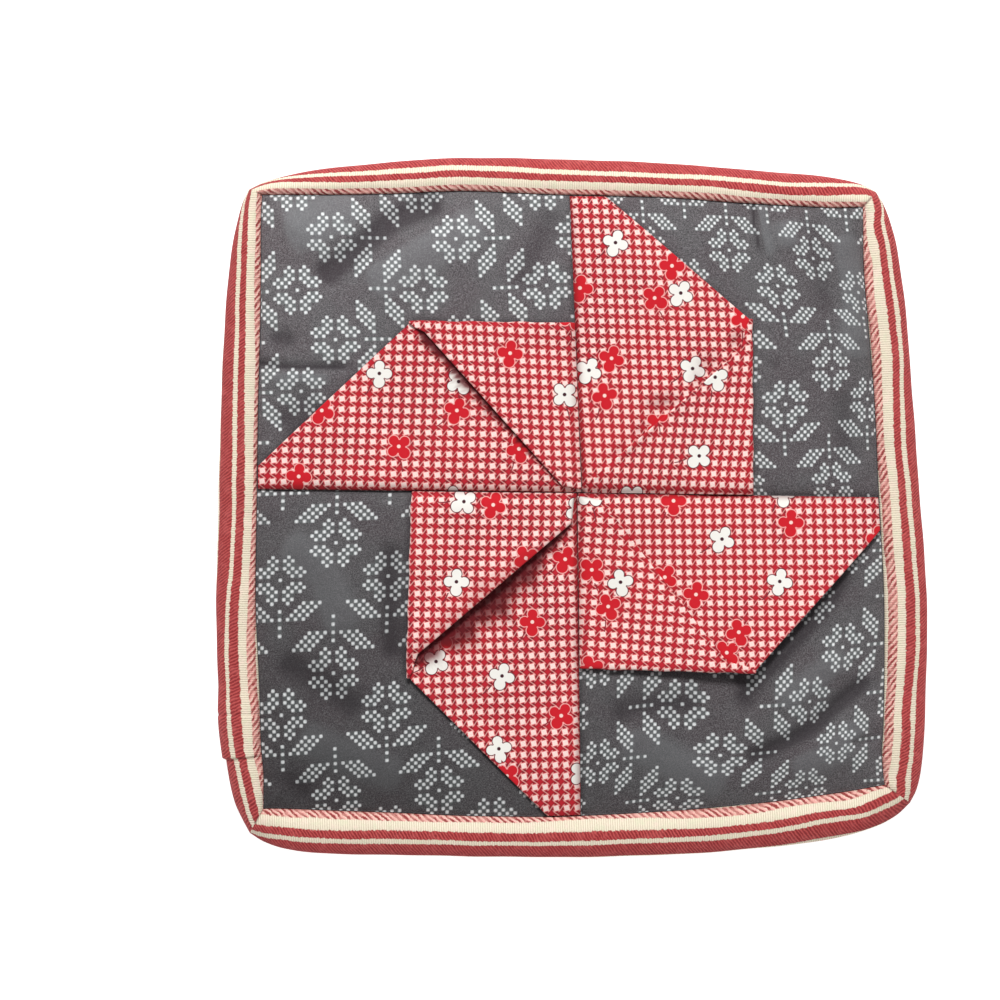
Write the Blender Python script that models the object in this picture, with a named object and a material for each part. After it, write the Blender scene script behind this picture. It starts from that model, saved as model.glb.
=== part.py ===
"""Square patchwork pot holder: a filled pad, four folded flaps that make a
pinwheel on its front, and a striped strip that binds its edge.

It lies on its back. +X is the pot holder's right, +Y its top, +Z out of its
front, and the origin is under the middle of its outline, on the surface that
it rests on. Sizes in the tables are millimetres; the model is in metres.
"""

import math

import bmesh
import bpy
import numpy as np

for old in list(bpy.data.objects):
    bpy.data.objects.remove(old, do_unlink=True)

MM = 0.001

# ---------------------------------------------------------------- sizes, mm
CLOTH = 1.2          # binding strip, thickness of the sewn layers
LEAF = 1.0           # one leaf of a folded flap, two layers of cloth
GAP = 0.3            # between pieces that touch
LIE = 0.70           # how far a flap's underside stands off the padded front
SEAM_GAP = 0.45      # from a seam line to the edge of a flap caught in it

SEAM_Z = 7.0         # the front along the binding's seam
CROWN_Z = 10.2       # the front at its fullest
RIM_RUN = 24.0       # how far in from the binding the front keeps rising
DITCH = 2.0          # depth of the seams between the four squares
DITCH_RUN = 9.0      # half width of those troughs

# Corners of the binding's seam and of the outline, and the ends of the two
# seams that cross in the middle.
CORNERS = {
    # corner: (seam x, seam y, outline x, outline y)
    "top_left": (-88.4, 89.2, -92.4, 90.9),
    "top_right": (82.9, 85.7, 86.9, 90.3),
    "bottom_right": (89.1, -79.0, 96.6, -84.3),
    "bottom_left": (-88.1, -85.8, -92.1, -93.0),
}
CENTRE = (1.4, 4.2)

# Each side, walked anticlockwise. cross_at is the share of the side at which
# a seam between two squares meets the binding. Rows: how far the binding's
# seam and the outline bow out from the straight line between their corners.
SIDES = {
    "top": {
        "from": "top_right", "to": "top_left", "cross_at": 0.484,
        "rows": (
            # share, seam bow, outline bow
            (0.00, 0.0, 0.0), (0.02, -0.2, 1.9), (0.05, -0.4, 3.4),
            (0.10, -0.2, 4.7), (0.20, 0.4, 6.0), (0.35, 1.6, 8.1),
            (0.50, 1.7, 9.0), (0.65, 2.2, 9.3), (0.80, 0.9, 7.6),
            (0.90, 0.3, 5.5), (0.95, 0.2, 3.5), (0.98, 0.1, 1.8),
            (1.00, 0.0, 0.0)),
    },
    "left": {
        "from": "top_left", "to": "bottom_left", "cross_at": 0.480,
        "rows": (
            (0.00, 0.0, 0.0), (0.02, 0.2, 1.8), (0.05, 0.3, 3.3),
            (0.10, 0.3, 5.0), (0.20, 0.5, 6.9), (0.35, 1.2, 8.1),
            (0.50, 1.6, 8.9), (0.65, 2.0, 9.5), (0.80, 1.0, 8.6),
            (0.90, 0.5, 6.4), (0.95, -0.2, 4.4), (0.98, -0.1, 2.0),
            (1.00, 0.0, 0.0)),
    },
    "bottom": {
        "from": "bottom_left", "to": "bottom_right", "cross_at": 0.510,
        "rows": (
            (0.00, 0.0, 0.0), (0.02, 0.1, 2.6), (0.05, 0.4, 4.8),
            (0.10, 1.1, 6.6), (0.20, 2.4, 7.9), (0.35, 4.5, 9.8),
            (0.50, 5.5, 11.2), (0.65, 5.1, 11.7), (0.80, 3.8, 10.7),
            (0.90, 2.2, 8.6), (0.95, 1.2, 6.2), (0.98, 0.5, 3.3),
            (1.00, 0.0, 0.0)),
    },
    "right": {
        "from": "bottom_right", "to": "top_right", "cross_at": 0.498,
        "rows": (
            (0.00, 0.0, 0.0), (0.02, -0.3, 2.0), (0.05, -0.5, 3.6),
            (0.10, 0.2, 5.0), (0.20, 1.1, 6.6), (0.35, 1.8, 8.1),
            (0.50, 1.4, 7.7), (0.65, 1.2, 7.2), (0.80, 0.2, 6.6),
            (0.90, -0.5, 5.3), (0.95, -0.3, 3.6), (0.98, -0.1, 1.9),
            (1.00, 0.0, 0.0)),
    },
}

MITRE_POWER = 9      # how late along a side the cuts start to slant

# The binding's outer skin, from its seam on the front round to its seam on
# the back: how far out it is, as a share of its width there, and its height.
SKIN = (
    # name, share of the width, height
    ("front seam", 0.00, 7.2),
    ("rise", 0.12, 8.1),
    ("crest", 0.36, 8.9),
    ("shoulder", 0.66, 8.2),
    ("upper side", 0.90, 6.3),
    ("widest", 1.00, 4.3),
    ("lower side", 0.94, 1.9),
    ("turn", 0.85, 0.5),
    ("foot", 0.75, 0.0),
    ("back seam", 0.06, 0.0),
)

# The strip's two ends lap on the left side: the upper one ends in a fold.
LAP = {"side": "left", "from": 0.80, "fold": 0.911, "blend": 0.013, "thick": 1.1}

# Where each half side is cut across, as shares from the cross seam's end to
# the corner. The half with the lap is also cut at both sides of its fold, and
# so are the lower right half and the trough between them, to match it.
CUTS = (0.0, 0.035, 0.09, 0.17, 0.29, 0.43, 0.57, 0.71, 0.83, 0.92, 0.97, 1.0)
LAP_CUTS = (0.0, 0.035, 0.09, 0.17, 0.29, 0.43, 0.56, 0.69, 0.80, 0.828, 0.850,
            0.92, 0.97, 1.0)
LAP_HALVES = (("left", "second"), ("right", "first"))
LAP_TROUGH = "bottom"

# The flaps. Each is a square folded in half, then opened and pressed flat, so
# it has a lower leaf, a fold from its tip to its fold_end, and an upper leaf
# back to the middle.
FLAPS = {
    # side: the binding it is caught in, and how much of it there;
    # seam: the other seam it is caught in, and how far out its fold ends;
    # tip: its free corner; lift: how far tip and slanted edge stand off;
    # mouth: how far the upper leaf's free edge stands open
    "flap_top_left": {
        "side": "left", "caught": 6.6, "seam": "top", "fold_at": 48.7,
        "tip": (-44.8, 53.5), "lift": 0.5, "mouth": 1.4},
    "flap_top_right": {
        "side": "top", "caught": 9.4, "seam": "right", "fold_at": 50.2,
        "tip": (51.5, 52.1), "lift": 0.4, "mouth": 1.6},
    "flap_bottom_right": {
        "side": "right", "caught": 9.4, "seam": "bottom", "fold_at": 49.7,
        "tip": (50.4, -46.8), "lift": 2.6, "mouth": 0.8},
    "flap_bottom_left": {
        "side": "bottom", "caught": 9.4, "seam": "left", "fold_at": 47.6,
        "tip": (-47.7, -46.8), "lift": 0.6, "mouth": 1.8},
}
FLAP_ROWS = (0.0, 0.05, 0.16, 0.28, 0.42, 0.56, 0.70, 0.85, 1.0)
FLAP_COLUMNS = (0.0, 0.07, 0.20, 0.34, 0.48, 0.62, 0.76, 0.88, 0.96, 1.0)
TURN_STEPS = 4       # facets round the fold between the two leaves
LEAF_GAP = 0.45      # between the two leaves at that fold

COLOURS = {
    # piece: colour, roughness
    "pad": ((0.105, 0.108, 0.115), 0.90),
    "binding": ((0.46, 0.085, 0.10), 0.85),
    "flap": ((0.60, 0.10, 0.12), 0.85),
}


# ---------------------------------------------------------------- outline
def smooth(rows, column, at):
    """A row table read at any share: rises and falls between its rows without
    passing them."""
    x = np.array([row[0] for row in rows])
    y = np.array([row[column] for row in rows])
    run, rise = np.diff(x), np.diff(y)
    slope = rise / run
    tangent = np.zeros_like(y)
    tangent[0], tangent[-1] = slope[0], slope[-1]
    for i in range(1, len(x) - 1):
        if slope[i - 1] * slope[i] > 0:
            w1, w2 = 2 * run[i] + run[i - 1], run[i] + 2 * run[i - 1]
            tangent[i] = (w1 + w2) / (w1 / slope[i - 1] + w2 / slope[i])
    k = np.clip(np.searchsorted(x, at, side="right") - 1, 0, len(x) - 2)
    s = (at - x[k]) / run[k]
    return ((2 * s**3 - 3 * s**2 + 1) * y[k] + (s**3 - 2 * s**2 + s) * run[k] * tangent[k]
            + (3 * s**2 - 2 * s**3) * y[k + 1] + (s**3 - s**2) * run[k] * tangent[k + 1])


def edge_point(side, share):
    """The binding's seam point at a share of a side, and the outline point
    that a cut there meets: square to the side, except near the mitres."""
    start, end = CORNERS[SIDES[side]["from"]], CORNERS[SIDES[side]["to"]]
    found = []
    for first, column in ((0, 1), (2, 2)):
        a = np.array(start[first:first + 2])
        b = np.array(end[first:first + 2])
        along = (b - a) / np.linalg.norm(b - a)
        out = np.array([along[1], -along[0]])
        at = share
        if found:
            square = np.dot(found[0] - a, along) / np.linalg.norm(b - a)
            at = square + (share - square) * abs(2 * share - 1) ** MITRE_POWER
        bow = smooth(SIDES[side]["rows"], column, at)
        found.append(a + (b - a) * at + out * bow)
    return found


def side_length(side):
    start, end = CORNERS[SIDES[side]["from"]], CORNERS[SIDES[side]["to"]]
    return math.hypot(end[0] - start[0], end[1] - start[1])


def lap_thickness(side, share):
    """What the lapped end adds to the binding at a share of a side."""
    if side != LAP["side"] or share <= LAP["from"] or share >= LAP["fold"] + LAP["blend"]:
        return 0.0
    if share > LAP["fold"]:
        return LAP["thick"] * (1 - (share - LAP["fold"]) / LAP["blend"])
    return LAP["thick"] * math.sin(math.pi / 2 * (share - LAP["from"]) / (LAP["fold"] - LAP["from"]))


def stations():
    """The cuts across the edge, anticlockwise from the top right corner: side
    and share, with each corner once."""
    found = []
    for side, facts in SIDES.items():
        middle = facts["cross_at"]
        first, second = (LAP_CUTS if (side, half) in LAP_HALVES else CUTS
                         for half in ("first", "second"))
        found += [(side, middle * (1 - cut)) for cut in reversed(first)]
        found += [(side, middle + (1 - middle) * cut) for cut in second[1:-1]]
    return found


class Station:
    """One cut across the edge: its seam point, its direction out and width."""

    def __init__(self, side, share):
        seam, outer = edge_point(side, share)
        self.side, self.share = side, share
        self.seam = seam
        self.width = float(np.linalg.norm(outer - seam))
        self.out = (outer - seam) / self.width
        span = 180.0 * min(share, 1 - share)
        near = math.exp(-((span / 4.0) ** 2))
        self.mitre = 1 + 0.4 * near            # a slanted cut is longer than a square one
        self.low = 1 - 0.10 * math.exp(-((span / 9.0) ** 2))
        self.lap = lap_thickness(side, share)

    def skin(self):
        points = [np.array([share * self.width, height * (self.low if height > 4 else 1)])
                  for _, share, height in SKIN]
        if self.lap:
            moved = offset(points, -self.lap)
            moved = [np.array([p[0], max(p[1], 0.0)]) for p in moved]
            keep = (0, 1, -3, -2, -1)
            for i in keep:
                moved[i] = points[i] * 0.5 + moved[i] * 0.5 if i == 1 else points[i]
            points = moved
        return points

    def place(self, across, height):
        xy = self.seam + self.out * across
        return (xy[0] * MM, xy[1] * MM, height * MM)


def offset(points, by):
    """A run of points moved by a distance to its right, each along the middle
    of its two sides."""
    points = [np.asarray(p, float) for p in points]
    moved = []
    for i, p in enumerate(points):
        normals = []
        for a, b in ((i - 1, i), (i, i + 1)):
            if 0 <= a and b < len(points):
                along = points[b] - points[a]
                along = along / np.linalg.norm(along)
                normals.append(np.array([along[1], -along[0]]))
        middle = sum(normals) / len(normals)
        middle = middle / np.dot(middle, middle) if len(normals) == 2 else middle
        moved.append(p + middle * by)
    return moved


# ---------------------------------------------------------------- heights
RING = [Station(side, share) for side, share in stations()]
SEAM_LINE = np.array([station.seam for station in RING])


def from_seam_line(x, y):
    """How far a point of the front is from the binding's seam."""
    a, b = SEAM_LINE, np.roll(SEAM_LINE, -1, axis=0)
    p = np.array([x, y])
    run = b - a
    share = np.clip(((p - a) * run).sum(1) / (run * run).sum(1), 0, 1)
    return float(np.linalg.norm(a + run * share[:, None] - p, axis=1).min())


def cross_ends():
    return {side: edge_point(side, facts["cross_at"])[0] for side, facts in SIDES.items()}


def from_cross_seams(x, y):
    """How far a point is from the nearer seam between two squares."""
    ends = cross_ends()
    p, centre = np.array([x, y]), np.array(CENTRE)
    best = 1e9
    for end in ends.values():
        run = end - centre
        share = np.clip(np.dot(p - centre, run) / np.dot(run, run), 0, 1)
        best = min(best, float(np.linalg.norm(centre + run * share - p)))
    return best


def front_height(x, y):
    """The padded front: it rises from the binding's seam to its crown, with
    troughs along the seams between the squares."""
    rim = min(1.0, from_seam_line(x, y) / RIM_RUN)
    rise = 1 - (1 - rim) ** 2.4
    ditch = max(0.0, 1 - from_cross_seams(x, y) / DITCH_RUN) ** 2
    return SEAM_Z + (CROWN_Z - SEAM_Z) * rise - DITCH * ditch * min(1.0, 0.25 + rim * 1.2)


# ---------------------------------------------------------------- meshes
def material(name, key):
    colour, rough = COLOURS[key]
    made = bpy.data.materials.new(name)
    made.use_nodes = True
    shader = made.node_tree.nodes["Principled BSDF"]
    shader.inputs["Base Color"].default_value = (*colour, 1.0)
    shader.inputs["Roughness"].default_value = rough
    shader.inputs["Metallic"].default_value = 0.0
    return made


def finish_mesh(name, bm, key):
    """A bmesh as a named object, its faces turned outward."""
    bmesh.ops.recalc_face_normals(bm, faces=bm.faces)
    mesh = bpy.data.meshes.new(name)
    bm.to_mesh(mesh)
    bm.free()
    mesh.shade_smooth()
    mesh.set_sharp_from_angle(angle=math.radians(40))
    thing = bpy.data.objects.new(name, mesh)
    thing.data.materials.append(material(name + "_cloth", key))
    bpy.context.scene.collection.objects.link(thing)
    return thing


def bridge(bm, first, second, closed=True):
    count = len(first)
    for i in range(count if closed else count - 1):
        j = (i + 1) % count
        bm.faces.new((first[i], first[j], second[j], second[i]))


def make_binding():
    """A closed C section carried round the edge: outer skin, then inner skin."""
    bm = bmesh.new()
    loops = []
    for station in RING:
        skin = station.skin()
        thick = CLOTH * station.mitre
        base = Station.skin(station) if not station.lap else [
            np.array([share * station.width, height]) for _, share, height in SKIN]
        inner = offset(base, thick)
        inner[0] = np.array([0.0, base[0][1] - CLOTH])
        inner[-1] = np.array([base[-1][0], CLOTH])
        inner[-2] = np.array([inner[-2][0], CLOTH])
        section = skin + inner[::-1]
        loops.append([bm.verts.new(station.place(*p)) for p in section])
    for i, loop in enumerate(loops):
        bridge(bm, loop, loops[(i + 1) % len(loops)])
    return finish_mesh("binding", bm, "binding")


def half_side(side, half):
    """The stations of one half of a side, from the cross seam to the corner."""
    middle = SIDES[side]["cross_at"]
    if half == "first":
        picked = [s for s in RING if s.side == side and s.share <= middle + 1e-9]
        return picked[::-1]
    picked = [s for s in RING if s.side == side and s.share >= middle - 1e-9]
    order = list(SIDES)
    following = order[(order.index(side) + 1) % len(order)]
    return picked + [next(s for s in RING if s.side == following)]


def make_pad():
    """The filled body: four square panels, the rim inside the binding, and a
    flat back."""
    bm = bmesh.new()
    index = {id(station): i for i, station in enumerate(RING)}
    top = []
    for station in RING:
        back = -(GAP + 0.05) * station.mitre
        top.append(bm.verts.new(station.place(back, SEAM_Z)))
    centre = np.array(CENTRE)
    ends = cross_ends()
    spokes = {}

    def front_vertex(x, y):
        return bm.verts.new((x * MM, y * MM, front_height(x, y) * MM))

    middle_vertex = front_vertex(*centre)
    inset = {}
    for side in SIDES:
        picked = half_side(side, "first")
        start = top[index[id(picked[0])]]
        inset[side] = np.array([start.co.x / MM, start.co.y / MM])

    def spoke(side):
        """The trough's own vertices, from the middle to the binding."""
        if side not in spokes:
            end = inset[side]
            cuts = LAP_CUTS if side == LAP_TROUGH else CUTS
            inner = [front_vertex(*(centre + (end - centre) * cut)) for cut in cuts[1:-1]]
            owner = half_side(side, "first")[0]
            spokes[side] = [middle_vertex] + inner + [top[index[id(owner)]]]
        return spokes[side]

    order = list(SIDES)
    for i, side in enumerate(order):
        following = order[(i + 1) % len(order)]
        # One square lies between the cross seam of this side and of the next.
        along = half_side(side, "second")          # this side's half, to the corner
        down = half_side(following, "first")       # the next side's half, to the corner
        edge_along = [top[index[id(s)]] for s in along]
        edge_down = [top[index[id(s)]] for s in down]
        grid = coons(spoke(following), edge_along, spoke(side), edge_down, front_vertex)
        for r in range(len(grid) - 1):
            for c in range(len(grid[0]) - 1):
                bm.faces.new((grid[r][c], grid[r][c + 1], grid[r + 1][c + 1], grid[r + 1][c]))

    previous = top
    sections = [rim_section(station) for station in RING]
    for k in range(len(sections[0])):
        ring = [bm.verts.new(station.place(*section[k]))
                for station, section in zip(RING, sections)]
        bridge(bm, previous, ring)
        previous = ring
    bm.faces.new(previous)
    bmesh.ops.triangulate(bm, faces=[f for f in bm.faces if len(f.verts) > 4])
    return finish_mesh("pad", bm, "pad")


def rim_section(station):
    """The pad's rim under the binding, from under the front seam to the back."""
    base = [np.array([share * station.width, height * (station.low if height > 4 else 1)])
            for _, share, height in SKIN]
    clear = (CLOTH + GAP + 0.05) * station.mitre
    inner = offset(base, clear)
    back = -(GAP + 0.05) * station.mitre
    foot = base[-1][0] + back
    section = [np.array([back, base[0][1] - CLOTH - GAP - 0.1])]
    section += inner[1:-2]
    section += [np.array([foot, CLOTH + GAP + 0.05]), np.array([foot, 0.0])]
    return section


def coons(low, high, left, right, vertex):
    """A grid of vertices filling the space between four edges."""
    def xy(v):
        return np.array([v.co.x / MM, v.co.y / MM])

    columns, rows = len(low) - 1, len(left) - 1
    cut_c = [np.linalg.norm(xy(v) - xy(low[0])) for v in low]
    cut_c = [c / cut_c[-1] for c in cut_c]
    cut_r = [np.linalg.norm(xy(v) - xy(left[0])) for v in left]
    cut_r = [c / cut_r[-1] for c in cut_r]
    grid = [[None] * (columns + 1) for _ in range(rows + 1)]
    for r in range(rows + 1):
        for c in range(columns + 1):
            if r == 0:
                grid[r][c] = low[c]
            elif r == rows:
                grid[r][c] = high[c]
            elif c == 0:
                grid[r][c] = left[r]
            elif c == columns:
                grid[r][c] = right[r]
            else:
                u, v = cut_c[c], cut_r[r]
                p = ((1 - v) * xy(low[c]) + v * xy(high[c])
                     + (1 - u) * xy(left[r]) + u * xy(right[r])
                     - (1 - u) * (1 - v) * xy(low[0]) - u * (1 - v) * xy(low[-1])
                     - (1 - u) * v * xy(high[0]) - u * v * xy(high[-1]))
                grid[r][c] = vertex(*p)
    return grid


def make_flap(name, facts):
    """One folded flap as a sheet that runs out under itself, turns over its
    fold and comes back."""
    centre, tip = np.array(CENTRE), np.array(facts["tip"])
    side, cross_at = facts["side"], SIDES[facts["side"]]["cross_at"]
    base, _ = edge_point(side, cross_at)
    slant, _ = edge_point(side, cross_at - facts["caught"] / side_length(side))
    short = cross_ends()[facts["seam"]] - centre
    fold_end = centre + short / np.linalg.norm(short) * facts["fold_at"]
    # Caught edges stop just short of their seam lines.
    long_run = (base - centre) / np.linalg.norm(base - centre)
    short_run = short / np.linalg.norm(short)
    base = base - long_run * SEAM_GAP
    slant = slant - long_run * SEAM_GAP
    inward = SEAM_GAP * (long_run + short_run)
    corner = centre + inward
    base = base + short_run * SEAM_GAP
    fold_end = fold_end + long_run * SEAM_GAP
    cut = float(np.linalg.norm(slant - base) / np.linalg.norm(fold_end - corner))
    rows = sorted(set([q for q in FLAP_ROWS if abs(q - cut) > 0.045 or q in (0.0, 1.0)] + [cut]))
    outward = (tip - slant) - long_run * np.dot(tip - slant, long_run)
    outward = outward / np.linalg.norm(outward)
    radius = (LEAF + LEAF_GAP) / 2

    def lifted(p):
        """Lift grows towards the free tip."""
        reach = np.clip(1 - np.linalg.norm(p - tip) / 45.0, 0, 1)
        slope = slant - tip
        share = np.clip(np.dot(p - tip, slope) / np.dot(slope, slope), 0, 1)
        beside = np.linalg.norm(tip + slope * share - p)
        edge = np.clip(1 - beside / 16.0, 0, 1) * math.sin(math.pi * (0.15 + 0.85 * share)) ** 0.7 \
            if share < 1 else 0.0
        return facts["lift"] * max(reach ** 1.5, 0.75 * edge)

    bm = bmesh.new()
    sheet = []
    for q in rows:                                     # lower leaf, out to the fold
        right = corner + (fold_end - corner) * q
        left = (base + (slant - base) * (q / cut) if q <= cut
                else slant + (tip - slant) * ((q - cut) / (1 - cut)))
        line = []
        for p in FLAP_COLUMNS:
            at = left + (right - left) * p
            z = front_height(*at) + LIE + LEAF / 2 + lifted(at)
            line.append(bm.verts.new((at[0] * MM, at[1] * MM, z * MM)))
        sheet.append(line)
    for step in range(1, TURN_STEPS):                  # round the fold
        angle = math.pi * step / TURN_STEPS
        line = []
        for vertex in sheet[len(rows) - 1]:
            at = np.array([vertex.co.x, vertex.co.y]) / MM + outward * radius * math.sin(angle)
            z = vertex.co.z / MM + radius * (1 - math.cos(angle))
            line.append(bm.verts.new((at[0] * MM, at[1] * MM, z * MM)))
        sheet.append(line)
    for q in [q for q in reversed(rows) if q > cut * 0.9] + [0.05]:   # upper leaf, back to the middle
        right = corner + (fold_end - corner) * q
        left = corner + (tip - corner) * q
        line = []
        for p in FLAP_COLUMNS:
            at = left + (right - left) * p
            open_by = facts["mouth"] * math.sin(math.pi * min(1.0, q)) ** 0.8 * max(0.0, 1 - p / 0.6) ** 1.5
            z = front_height(*at) + LIE + LEAF / 2 + lifted(at) + 2 * radius + open_by
            line.append(bm.verts.new((at[0] * MM, at[1] * MM, z * MM)))
        sheet.append(line)
    for low, high in zip(sheet, sheet[1:]):
        bridge(bm, low, high, closed=False)
    thing = finish_mesh(name, bm, "flap")
    thick = thing.modifiers.new("two layers of cloth", "SOLIDIFY")
    thick.thickness = LEAF * MM
    thick.offset = 0.0
    thick.use_rim = True
    thick.use_even_offset = True
    return thing


make_pad()
make_binding()
for flap_name, flap_facts in FLAPS.items():
    make_flap(flap_name, flap_facts)
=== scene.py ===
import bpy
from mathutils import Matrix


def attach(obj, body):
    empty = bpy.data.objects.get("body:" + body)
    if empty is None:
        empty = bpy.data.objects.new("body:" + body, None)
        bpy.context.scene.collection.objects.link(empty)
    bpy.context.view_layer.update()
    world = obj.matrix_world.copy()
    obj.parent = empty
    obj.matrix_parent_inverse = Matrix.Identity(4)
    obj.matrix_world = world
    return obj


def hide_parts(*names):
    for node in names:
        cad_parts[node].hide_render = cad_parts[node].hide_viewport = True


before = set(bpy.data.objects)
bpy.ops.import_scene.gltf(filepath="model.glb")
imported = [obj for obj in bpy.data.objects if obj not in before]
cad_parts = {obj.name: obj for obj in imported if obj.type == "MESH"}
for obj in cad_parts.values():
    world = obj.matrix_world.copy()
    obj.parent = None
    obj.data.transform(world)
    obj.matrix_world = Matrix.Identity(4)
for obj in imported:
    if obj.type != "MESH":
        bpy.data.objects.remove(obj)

"""Looks of the square patchwork pot holder: a filled pad in four squares of
printed cloth, four flaps of checked cloth folded into a pinwheel on it, and a
striped strip round the edge.

Tables are in millimetres, in the pot holder's own frame: +X its right, +Y its
top, +Z out of its front, and the origin under its middle.
"""

import math

import bpy
import numpy as np
from mathutils import Vector

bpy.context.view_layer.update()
MM = 0.001

# ---------------------------------------------------------------- the build
SEAM_Z, CROWN_Z, RIM_RUN = 7.0, 10.2, 24.0     # the padded front
DITCH, DITCH_RUN = 1.4, 5.5                    # troughs along its cross seams
CORNERS = {
    # corner: (seam x, seam y, outline x, outline y)
    "top_left": (-88.4, 89.2, -92.4, 90.9),
    "top_right": (82.9, 85.7, 86.9, 90.3),
    "bottom_right": (89.1, -79.0, 96.6, -84.3),
    "bottom_left": (-88.1, -85.8, -92.1, -93.0),
}
CENTRE = np.array((1.4, 4.2))
SIDES = {
    # rows: share of the side, how far the seam bows out, and the outline
    "top": {"from": "top_right", "to": "top_left", "cross_at": 0.484, "rows": (
        (0.00, 0.0, 0.0), (0.02, -0.2, 1.9), (0.05, -0.4, 3.4), (0.10, -0.2, 4.7),
        (0.20, 0.4, 6.0), (0.35, 1.6, 8.1), (0.50, 1.7, 9.0), (0.65, 2.2, 9.3),
        (0.80, 0.9, 7.6), (0.90, 0.3, 5.5), (0.95, 0.2, 3.5), (0.98, 0.1, 1.8),
        (1.00, 0.0, 0.0))},
    "left": {"from": "top_left", "to": "bottom_left", "cross_at": 0.480, "rows": (
        (0.00, 0.0, 0.0), (0.02, 0.2, 1.8), (0.05, 0.3, 3.3), (0.10, 0.3, 5.0),
        (0.20, 0.5, 6.9), (0.35, 1.2, 8.1), (0.50, 1.6, 8.9), (0.65, 2.0, 9.5),
        (0.80, 1.0, 8.6), (0.90, 0.5, 6.4), (0.95, -0.2, 4.4), (0.98, -0.1, 2.0),
        (1.00, 0.0, 0.0))},
    "bottom": {"from": "bottom_left", "to": "bottom_right", "cross_at": 0.510, "rows": (
        (0.00, 0.0, 0.0), (0.02, 0.1, 2.6), (0.05, 0.4, 4.8), (0.10, 1.1, 6.6),
        (0.20, 2.4, 7.9), (0.35, 4.5, 9.8), (0.50, 5.5, 11.2), (0.65, 5.1, 11.7),
        (0.80, 3.8, 10.7), (0.90, 2.2, 8.6), (0.95, 1.2, 6.2), (0.98, 0.5, 3.3),
        (1.00, 0.0, 0.0))},
    "right": {"from": "bottom_right", "to": "top_right", "cross_at": 0.498, "rows": (
        (0.00, 0.0, 0.0), (0.02, -0.3, 2.0), (0.05, -0.5, 3.6), (0.10, 0.2, 5.0),
        (0.20, 1.1, 6.6), (0.35, 1.8, 8.1), (0.50, 1.4, 7.7), (0.65, 1.2, 7.2),
        (0.80, 0.2, 6.6), (0.90, -0.5, 5.3), (0.95, -0.3, 3.6), (0.98, -0.1, 1.9),
        (1.00, 0.0, 0.0))},
}
ORDER = list(SIDES)
MITRE_POWER = 9
SKIN = (
    # the binding's section: share of its width, height
    (0.00, 7.2), (0.12, 8.1), (0.36, 8.9), (0.66, 8.2), (0.90, 6.3), (1.00, 4.3),
    (0.94, 1.9), (0.85, 0.5), (0.75, 0.0), (0.06, 0.0),
)
LAP = {"side": "left", "from": 0.80, "fold": 0.911, "blend": 0.004, "thick": 1.0}
STRIP = 1.0            # thickness of the binding with its turned-in edges
STRIP_LAYER, STRIP_GAP = 0.44, 0.12            # one layer of it, and between two

# One layer of the flaps' cloth, and how it lies.
LAYER = 0.32           # its thickness
PLY = 0.22             # from the middle of a leaf to the middle of each layer
TURN = 0.62            # radius of the fold between the leaves
INSET = 1.4            # from the edge of that fold in to where it begins
LIE = 0.55             # the lowest layer stands this far off the front
FLAPS = {
    # free_edge: where the upper leaf's free edge leaves the far fold, and where
    # it runs into a seam; lift: how far
    # tip and slanted edge stand off; mouth: how far the free edge stands open,
    # and over what share of the leaf; wave: how uneven that edge is; shift:
    # how far its own corner is from the middle; shade: how deep the painted shadow is
    # below the free edge, how wide at shares of it, and how much of it lies on
    # the upper leaf; shade_spots: painted shade patches as x, y, half length, half width, turn, depth
    "top_left": {"side": "left", "caught": 6.6, "seam": "top", "fold_at": 48.7,
                 "tip": (-44.8, 53.5), "free_edge": ((-44.9, 53.3), (-2.05, 5.4)), "lift": 0.5,
                 "mouth": 1.0, "open": 0.26, "wave": 0.22, "shift": (1.3, 0.1),
                 "shade": (1.75, ((0.0, 0.5), (0.35, 1.2), (0.6, 2.3), (0.9, 2.9), (1.0, 1.6)), 0.2), "shade_spots": ()},
    "top_right": {"side": "top", "caught": 9.4, "seam": "right", "fold_at": 50.2,
                  "tip": (51.5, 52.1), "free_edge": ((50.9, 47.3), (1.9, 4.8)), "lift": 0.5,
                  "mouth": 0.8, "open": 0.24, "wave": 0.95, "shift": (1.3, 0.1),
                  "shade": (0.0, ((0.0, 0.5), (1.0, 0.5)), 0.0),
                  "shade_spots": ((25.3, 30.3, 4.6, 2.0, 15, 0.75), (38.0, 41.2, 3.6, 2.2, 40, 0.45),
                            (46.0, 48.0, 3.0, 1.8, 45, 0.55), (19.6, 22.8, 3.2, 1.6, 45, 0.40),
                            (13.0, 16.8, 3.4, 1.4, 45, 0.35), (35.5, 36.8, 2.6, 2.0, 45, 0.40))},
    "bottom_right": {"side": "right", "caught": 9.4, "seam": "bottom", "fold_at": 50.3,
                     "tip": (50.4, -47.3), "free_edge": ((46.1, -46.9), (7.4, 2.9)), "lift": 4.0,
                     "mouth": 0.0, "open": 0.30, "wave": 0.3, "shift": (0.0, 0.0),
                     "shade": (0.35, ((0.0, 0.4), (0.5, 0.5), (1.0, 0.7)), 0.1), "shade_spots": ()},
    "bottom_left": {"side": "bottom", "caught": 9.4, "seam": "left", "fold_at": 47.6,
                    "tip": (-47.7, -46.8), "free_edge": ((-47.4, -44.3), (0.4, -3.6)), "lift": 0.6,
                    "mouth": 3.2, "open": 0.40, "wave": 0.22, "shift": (0.0, 0.0),
                    "shade": (1.35, ((0.0, 0.8), (0.12, 3.0), (0.3, 7.0), (0.5, 9.8), (0.75, 8.6), (0.92, 5.0),
                                     (1.0, 1.6)), 0.45), "shade_spots": ()},
}

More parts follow.
